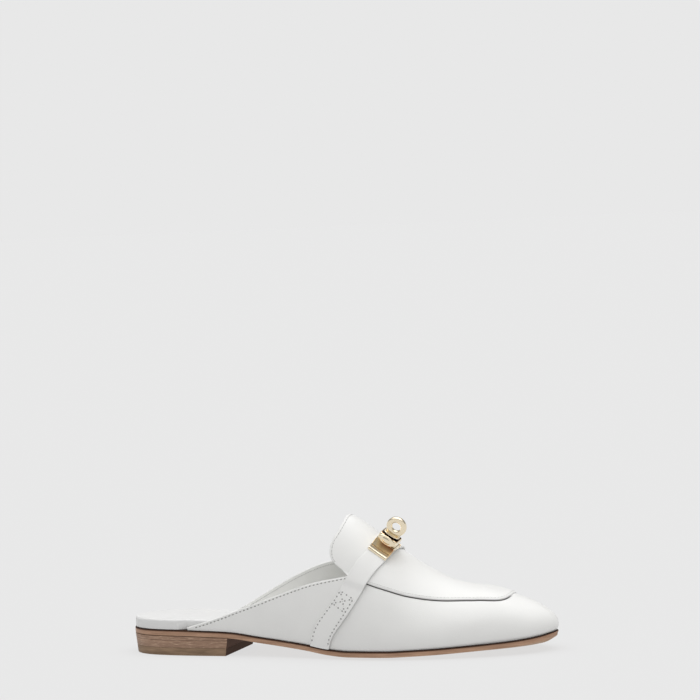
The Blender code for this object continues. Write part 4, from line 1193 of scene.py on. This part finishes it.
def make_clasp_plate():
    """Saddle plate with round edges, a raised bar and a groove at each end, and hollow flanks up to the block."""
    half, span, radius = CLASP_WIDTH / 2, CLASP_SPAN / 2, PLATE_EDGE_RADIUS
    ends = np.concatenate([radius * (1 - np.cos(np.linspace(0, math.pi / 2, 6))), np.linspace(radius, span, 60)[1:]])
    outs = np.concatenate([ends - span, (span - ends[:-1])[::-1]])[:, None]
    distance = span - abs(outs)
    drop = radius - np.sqrt(radius**2 - np.maximum(radius - distance, 0) ** 2)
    bar = BAR_HEIGHT * np.exp(-(((distance - BAR_PLACE) / BAR_WIDTH) ** 2))
    bar = bar - END_SLOPE * np.maximum(BAR_PLACE - distance, 0)
    groove = np.exp(-(((distance - GROOVE_PLACE) / GROOVE_WIDTH) ** 2))
    flank = np.clip((PEDESTAL_LENGTH / 2 + PEDESTAL_FLARE - abs(outs)) / PEDESTAL_FLARE, 0, 1) ** 2

    # One ring round the band: its underside, one side wall, its top and the other side wall.
    inner = np.linspace(-1, 1, 15) * (half - radius)
    turns = np.linspace(0, math.pi / 2, 5)
    rounding = half - radius * (1 - np.cos(turns))
    fall, level = radius * (1 - np.sin(turns)), 0 * inner
    across = np.concatenate([inner, [half], rounding, inner[::-1], -rounding[::-1], [-half]])
    down = np.concatenate([level, [0], fall, level, fall[::-1], [0]])
    low = np.concatenate([level + 1, [1], 0 * turns, level, 0 * turns, [1]])

    seats = strap_point(CLASP_ARC + outs / STRAP_SPEED, across, STRAP_THICKNESS + GAP)
    turn = np.array(CLASP_SEAT.inverted())
    seats = seats @ turn[:3, :3].T + turn[:3, 3]
    base = seats[..., 2] + PLATE_THICKNESS
    tops = base + (PEDESTAL_HEIGHT - base) * flank + bar - GROOVE_DEPTH * groove - drop - down
    tops = np.maximum(tops, seats[..., 2] + 0.0002)
    seats[..., 2] = np.where(low > 0, seats[..., 2], tops)
    # Painted reflection on the hollow flanks, warm gold at one side and reddish brown further across, and painted shade
    # in the grooves.
    hollow = np.where(flank < 1, np.sqrt(flank), 0) * (0.14 + 0.50 * ramp(across / half, -0.80, -0.05))
    recess = np.maximum(hollow, groove * 0.62) * (1 - low)
    mesh = mesh_of("saddle_plate", seats.reshape(-1, 3), loft_faces(len(outs), len(across)), CLASP_PLACE)
    add_piece(mesh, [GOLD], "clasp_plate", "pale_gold", recess=recess.ravel())


def make_clasp_block():
    """Rounded block with a wide oval cap on each end of its length and the bore for the post."""
    base, size = PEDESTAL_HEIGHT + GAP, (CLASP_WIDTH - 2 * GAP, BLOCK_LENGTH, BLOCK_HEIGHT)
    middle = CLASP_PLACE @ Matrix.Translation((0, 0, base + BLOCK_HEIGHT / 2))
    box = bmesh.new()
    bmesh.ops.create_cube(box, size=1, matrix=Matrix.Diagonal((*size, 1)))
    bmesh.ops.bevel(
        box, geom=box.edges[:], offset=BLOCK_BEVEL, segments=5, profile=0.5, affect="EDGES", clamp_overlap=True
    )
    bmesh.ops.transform(box, matrix=middle, verts=box.verts)
    block = bpy.data.meshes.new("block")
    box.to_mesh(block)
    box.free()
    others = []
    for side in (1, -1):
        place = middle @ Matrix.Translation((0, side * BLOCK_LENGTH / 2, CAP_OFFSET))
        place = place @ Matrix.Rotation(-side * math.pi / 2, 4, "X")
        others.append((lathe("cap", place, CAP_PROFILE, 56, (CAP_WIDTH / 2, CAP_HEIGHT / 2)), "UNION"))
    reach, radius = POST_DEPTH + GAP, POST_RADIUS + RUNNING_CLEARANCE
    bore = CLASP_PLACE @ Matrix.Translation((0, 0, base + BLOCK_HEIGHT))
    others.append((lathe("bore", bore, [(radius, -reach), (radius, reach)]), "DIFFERENCE"))

    # Painted shade on the block's top face, under the toggle's foot.
    def is_dark(at):
        return at.z > base + BLOCK_HEIGHT - 0.0001 and abs(at.y) < BLOCK_LENGTH / 2 + 0.00002

    add_metal("clasp_body", "clasp_block", block, others, is_dark)


def make_toggle():
    """Turn-lock toggle: post, oval foot with an undercut, and ring."""
    low = PEDESTAL_HEIGHT + GAP + BLOCK_HEIGHT + RUNNING_CLEARANCE
    axis = CLASP_PLACE @ Matrix.Translation((0, 0, low))
    turned = axis @ Matrix.Rotation(math.radians(TOGGLE_TURN), 4, "Z")
    high, wide = TOGGLE_FOOT_THICKNESS, TOGGLE_FOOT_RADIUS
    profile = [(wide - 0.0007, 0.0), (wide - 0.0007, FOOT_UNDERCUT), (wide - 0.0001, FOOT_UNDERCUT + 0.00005)]
    profile += [(wide, FOOT_UNDERCUT + 0.00015), (wide, high - 0.0002), (wide - 0.0002, high)]
    foot = lathe("foot", turned, profile, 64, (1.0, FOOT_SQUASH), 0.77)
    post = lathe("post", axis, [(POST_RADIUS, -POST_DEPTH), (POST_RADIUS, high / 2)])
    bevel = RING_BEVEL
    outer, inner, half = RING_RADIUS - bevel, RING_HOLE_RADIUS + bevel, RING_THICKNESS / 2 - bevel
    section = []
    for quarter, (r, t) in enumerate(((outer, half), (inner, half), (inner, -half), (outer, -half))):
        for turn in math.pi / 2 * (quarter + np.linspace(0, 1, 6)):
            section.append((r + bevel * math.cos(turn), t + bevel * math.sin(turn)))
    turns = np.linspace(0, 2 * math.pi, 73)[:-1]
    points = [(r * math.cos(a), t, r * math.sin(a)) for a in turns for r, t in section]
    lifted = turned @ Matrix.Translation((0, 0, high + RING_RADIUS - RING_SINK))
    ring = mesh_of("ring", points, loft_faces(len(turns), len(section), closed=True), lifted)

    # Painted shade in the foot's undercut.
    def is_dark(at):
        return at.z < low + FOOT_UNDERCUT + 0.00002

    add_metal("turnlock_ring", "turnlock_toggle", foot, [(post, "UNION"), (ring, "UNION")], is_dark, "toggle")


make_sole()
make_heel()
make_insole()
make_upper()
make_strap()
make_upper_stitches()
make_strap_stitches()
make_clasp_plate()
make_clasp_block()
make_toggle()


# Camera: fitted to the photograph, in the shoe's own frame.

AZIMUTH, ELEVATION, ROLL = (math.radians(v) for v in (18.5, 8.5, 2.6))
DISTANCE = 1.8
METRES_PER_PIXEL = 0.0005975
TARGET = Vector((0.0026, 0, 0))
TARGET_PIXEL = (347, 650)
PHOTO_SIZE = 700
SENSOR_WIDTH = 36


def make_camera():
    back = (math.sin(AZIMUTH) * math.cos(ELEVATION), -math.cos(AZIMUTH) * math.cos(ELEVATION), math.sin(ELEVATION))
    back, level = Vector(back), Vector((math.cos(AZIMUTH), math.sin(AZIMUTH), 0))
    up = back.cross(level)
    right = level * math.cos(ROLL) - up * math.sin(ROLL)
    top = level * math.sin(ROLL) + up * math.cos(ROLL)
    focal = DISTANCE / METRES_PER_PIXEL
    aim = ((TARGET_PIXEL[0] - PHOTO_SIZE / 2) / focal, -(TARGET_PIXEL[1] - PHOTO_SIZE / 2) / focal, -1)
    turn = Vector((0, 0, -1)).rotation_difference(Vector(aim).normalized()).to_matrix()
    camera = bpy.data.cameras.new("camera")
    camera.sensor_width = SENSOR_WIDTH
    camera.lens = SENSOR_WIDTH * focal / PHOTO_SIZE
    camera.clip_end = 100
    place = (Matrix((right, top, back)).transposed() @ turn.transposed()).to_4x4()
    place.translation = TARGET + back * DISTANCE + SHIFT
    made = linked("camera", camera)
    made.matrix_world = place
    bpy.context.scene.camera = made


# Floor and light

BACKGROUND = 0.807
FLOOR_REACH = 30.0
FLOOR_ALBEDO = (0.10, 0.10, 0.10)
FLOOR_GLOW = 0.676
SKY_STRENGTH = 2.5
FRONT_LIGHT = 0.30
FRONT_LIGHT_ANGLE = math.radians(70)
FRONT_LIGHT_FROM = (0.75, -0.35, 0.55)
# Brightness of the studio by the height of the direction: level walls, a dimmer band, and a broad light overhead.
SKY = ((0.00, BACKGROUND), (0.09, BACKGROUND), (0.20, 0.34), (0.62, 0.34), (0.76, 1.60), (0.88, 2.45), (1.00, 2.45))


def make_floor():
    corners = [(x * FLOOR_REACH, y * FLOOR_REACH, 0) for x, y in ((-1, -1), (1, -1), (1, 1), (-1, 1))]
    mesh = mesh_of("studio_floor", corners, [(0, 1, 2, 3)], Matrix())
    surface = material("pale_floor").finish(
        Base_Color=FLOOR_ALBEDO, Roughness=0.9, Specular_IOR_Level=0.0, Emission_Color=(1.0, 1.0, 1.0),
        Emission_Strength=FLOOR_GLOW,
    )
    mesh.materials.append(surface)
    linked("studio_floor", mesh)


def make_light():
    world = bpy.data.worlds.new("studio")
    bpy.context.scene.world = world
    n = Nodes(world, "Background", "Generated")
    sky = n.ramp(n.part(n.place, "Z"), *[(height, level / SKY_STRENGTH) for height, level in SKY])
    n.finish(Color=sky, Strength=SKY_STRENGTH)
    light = bpy.data.lights.new("front_light", "SUN")
    light.energy, light.angle = FRONT_LIGHT, FRONT_LIGHT_ANGLE
    made = linked("front_light", light)
    made.rotation_mode = "QUATERNION"
    made.rotation_quaternion = Vector(FRONT_LIGHT_FROM).to_track_quat("Z", "Y")
    bpy.context.scene.view_settings.view_transform = "Standard"


make_camera()
make_floor()
make_light()
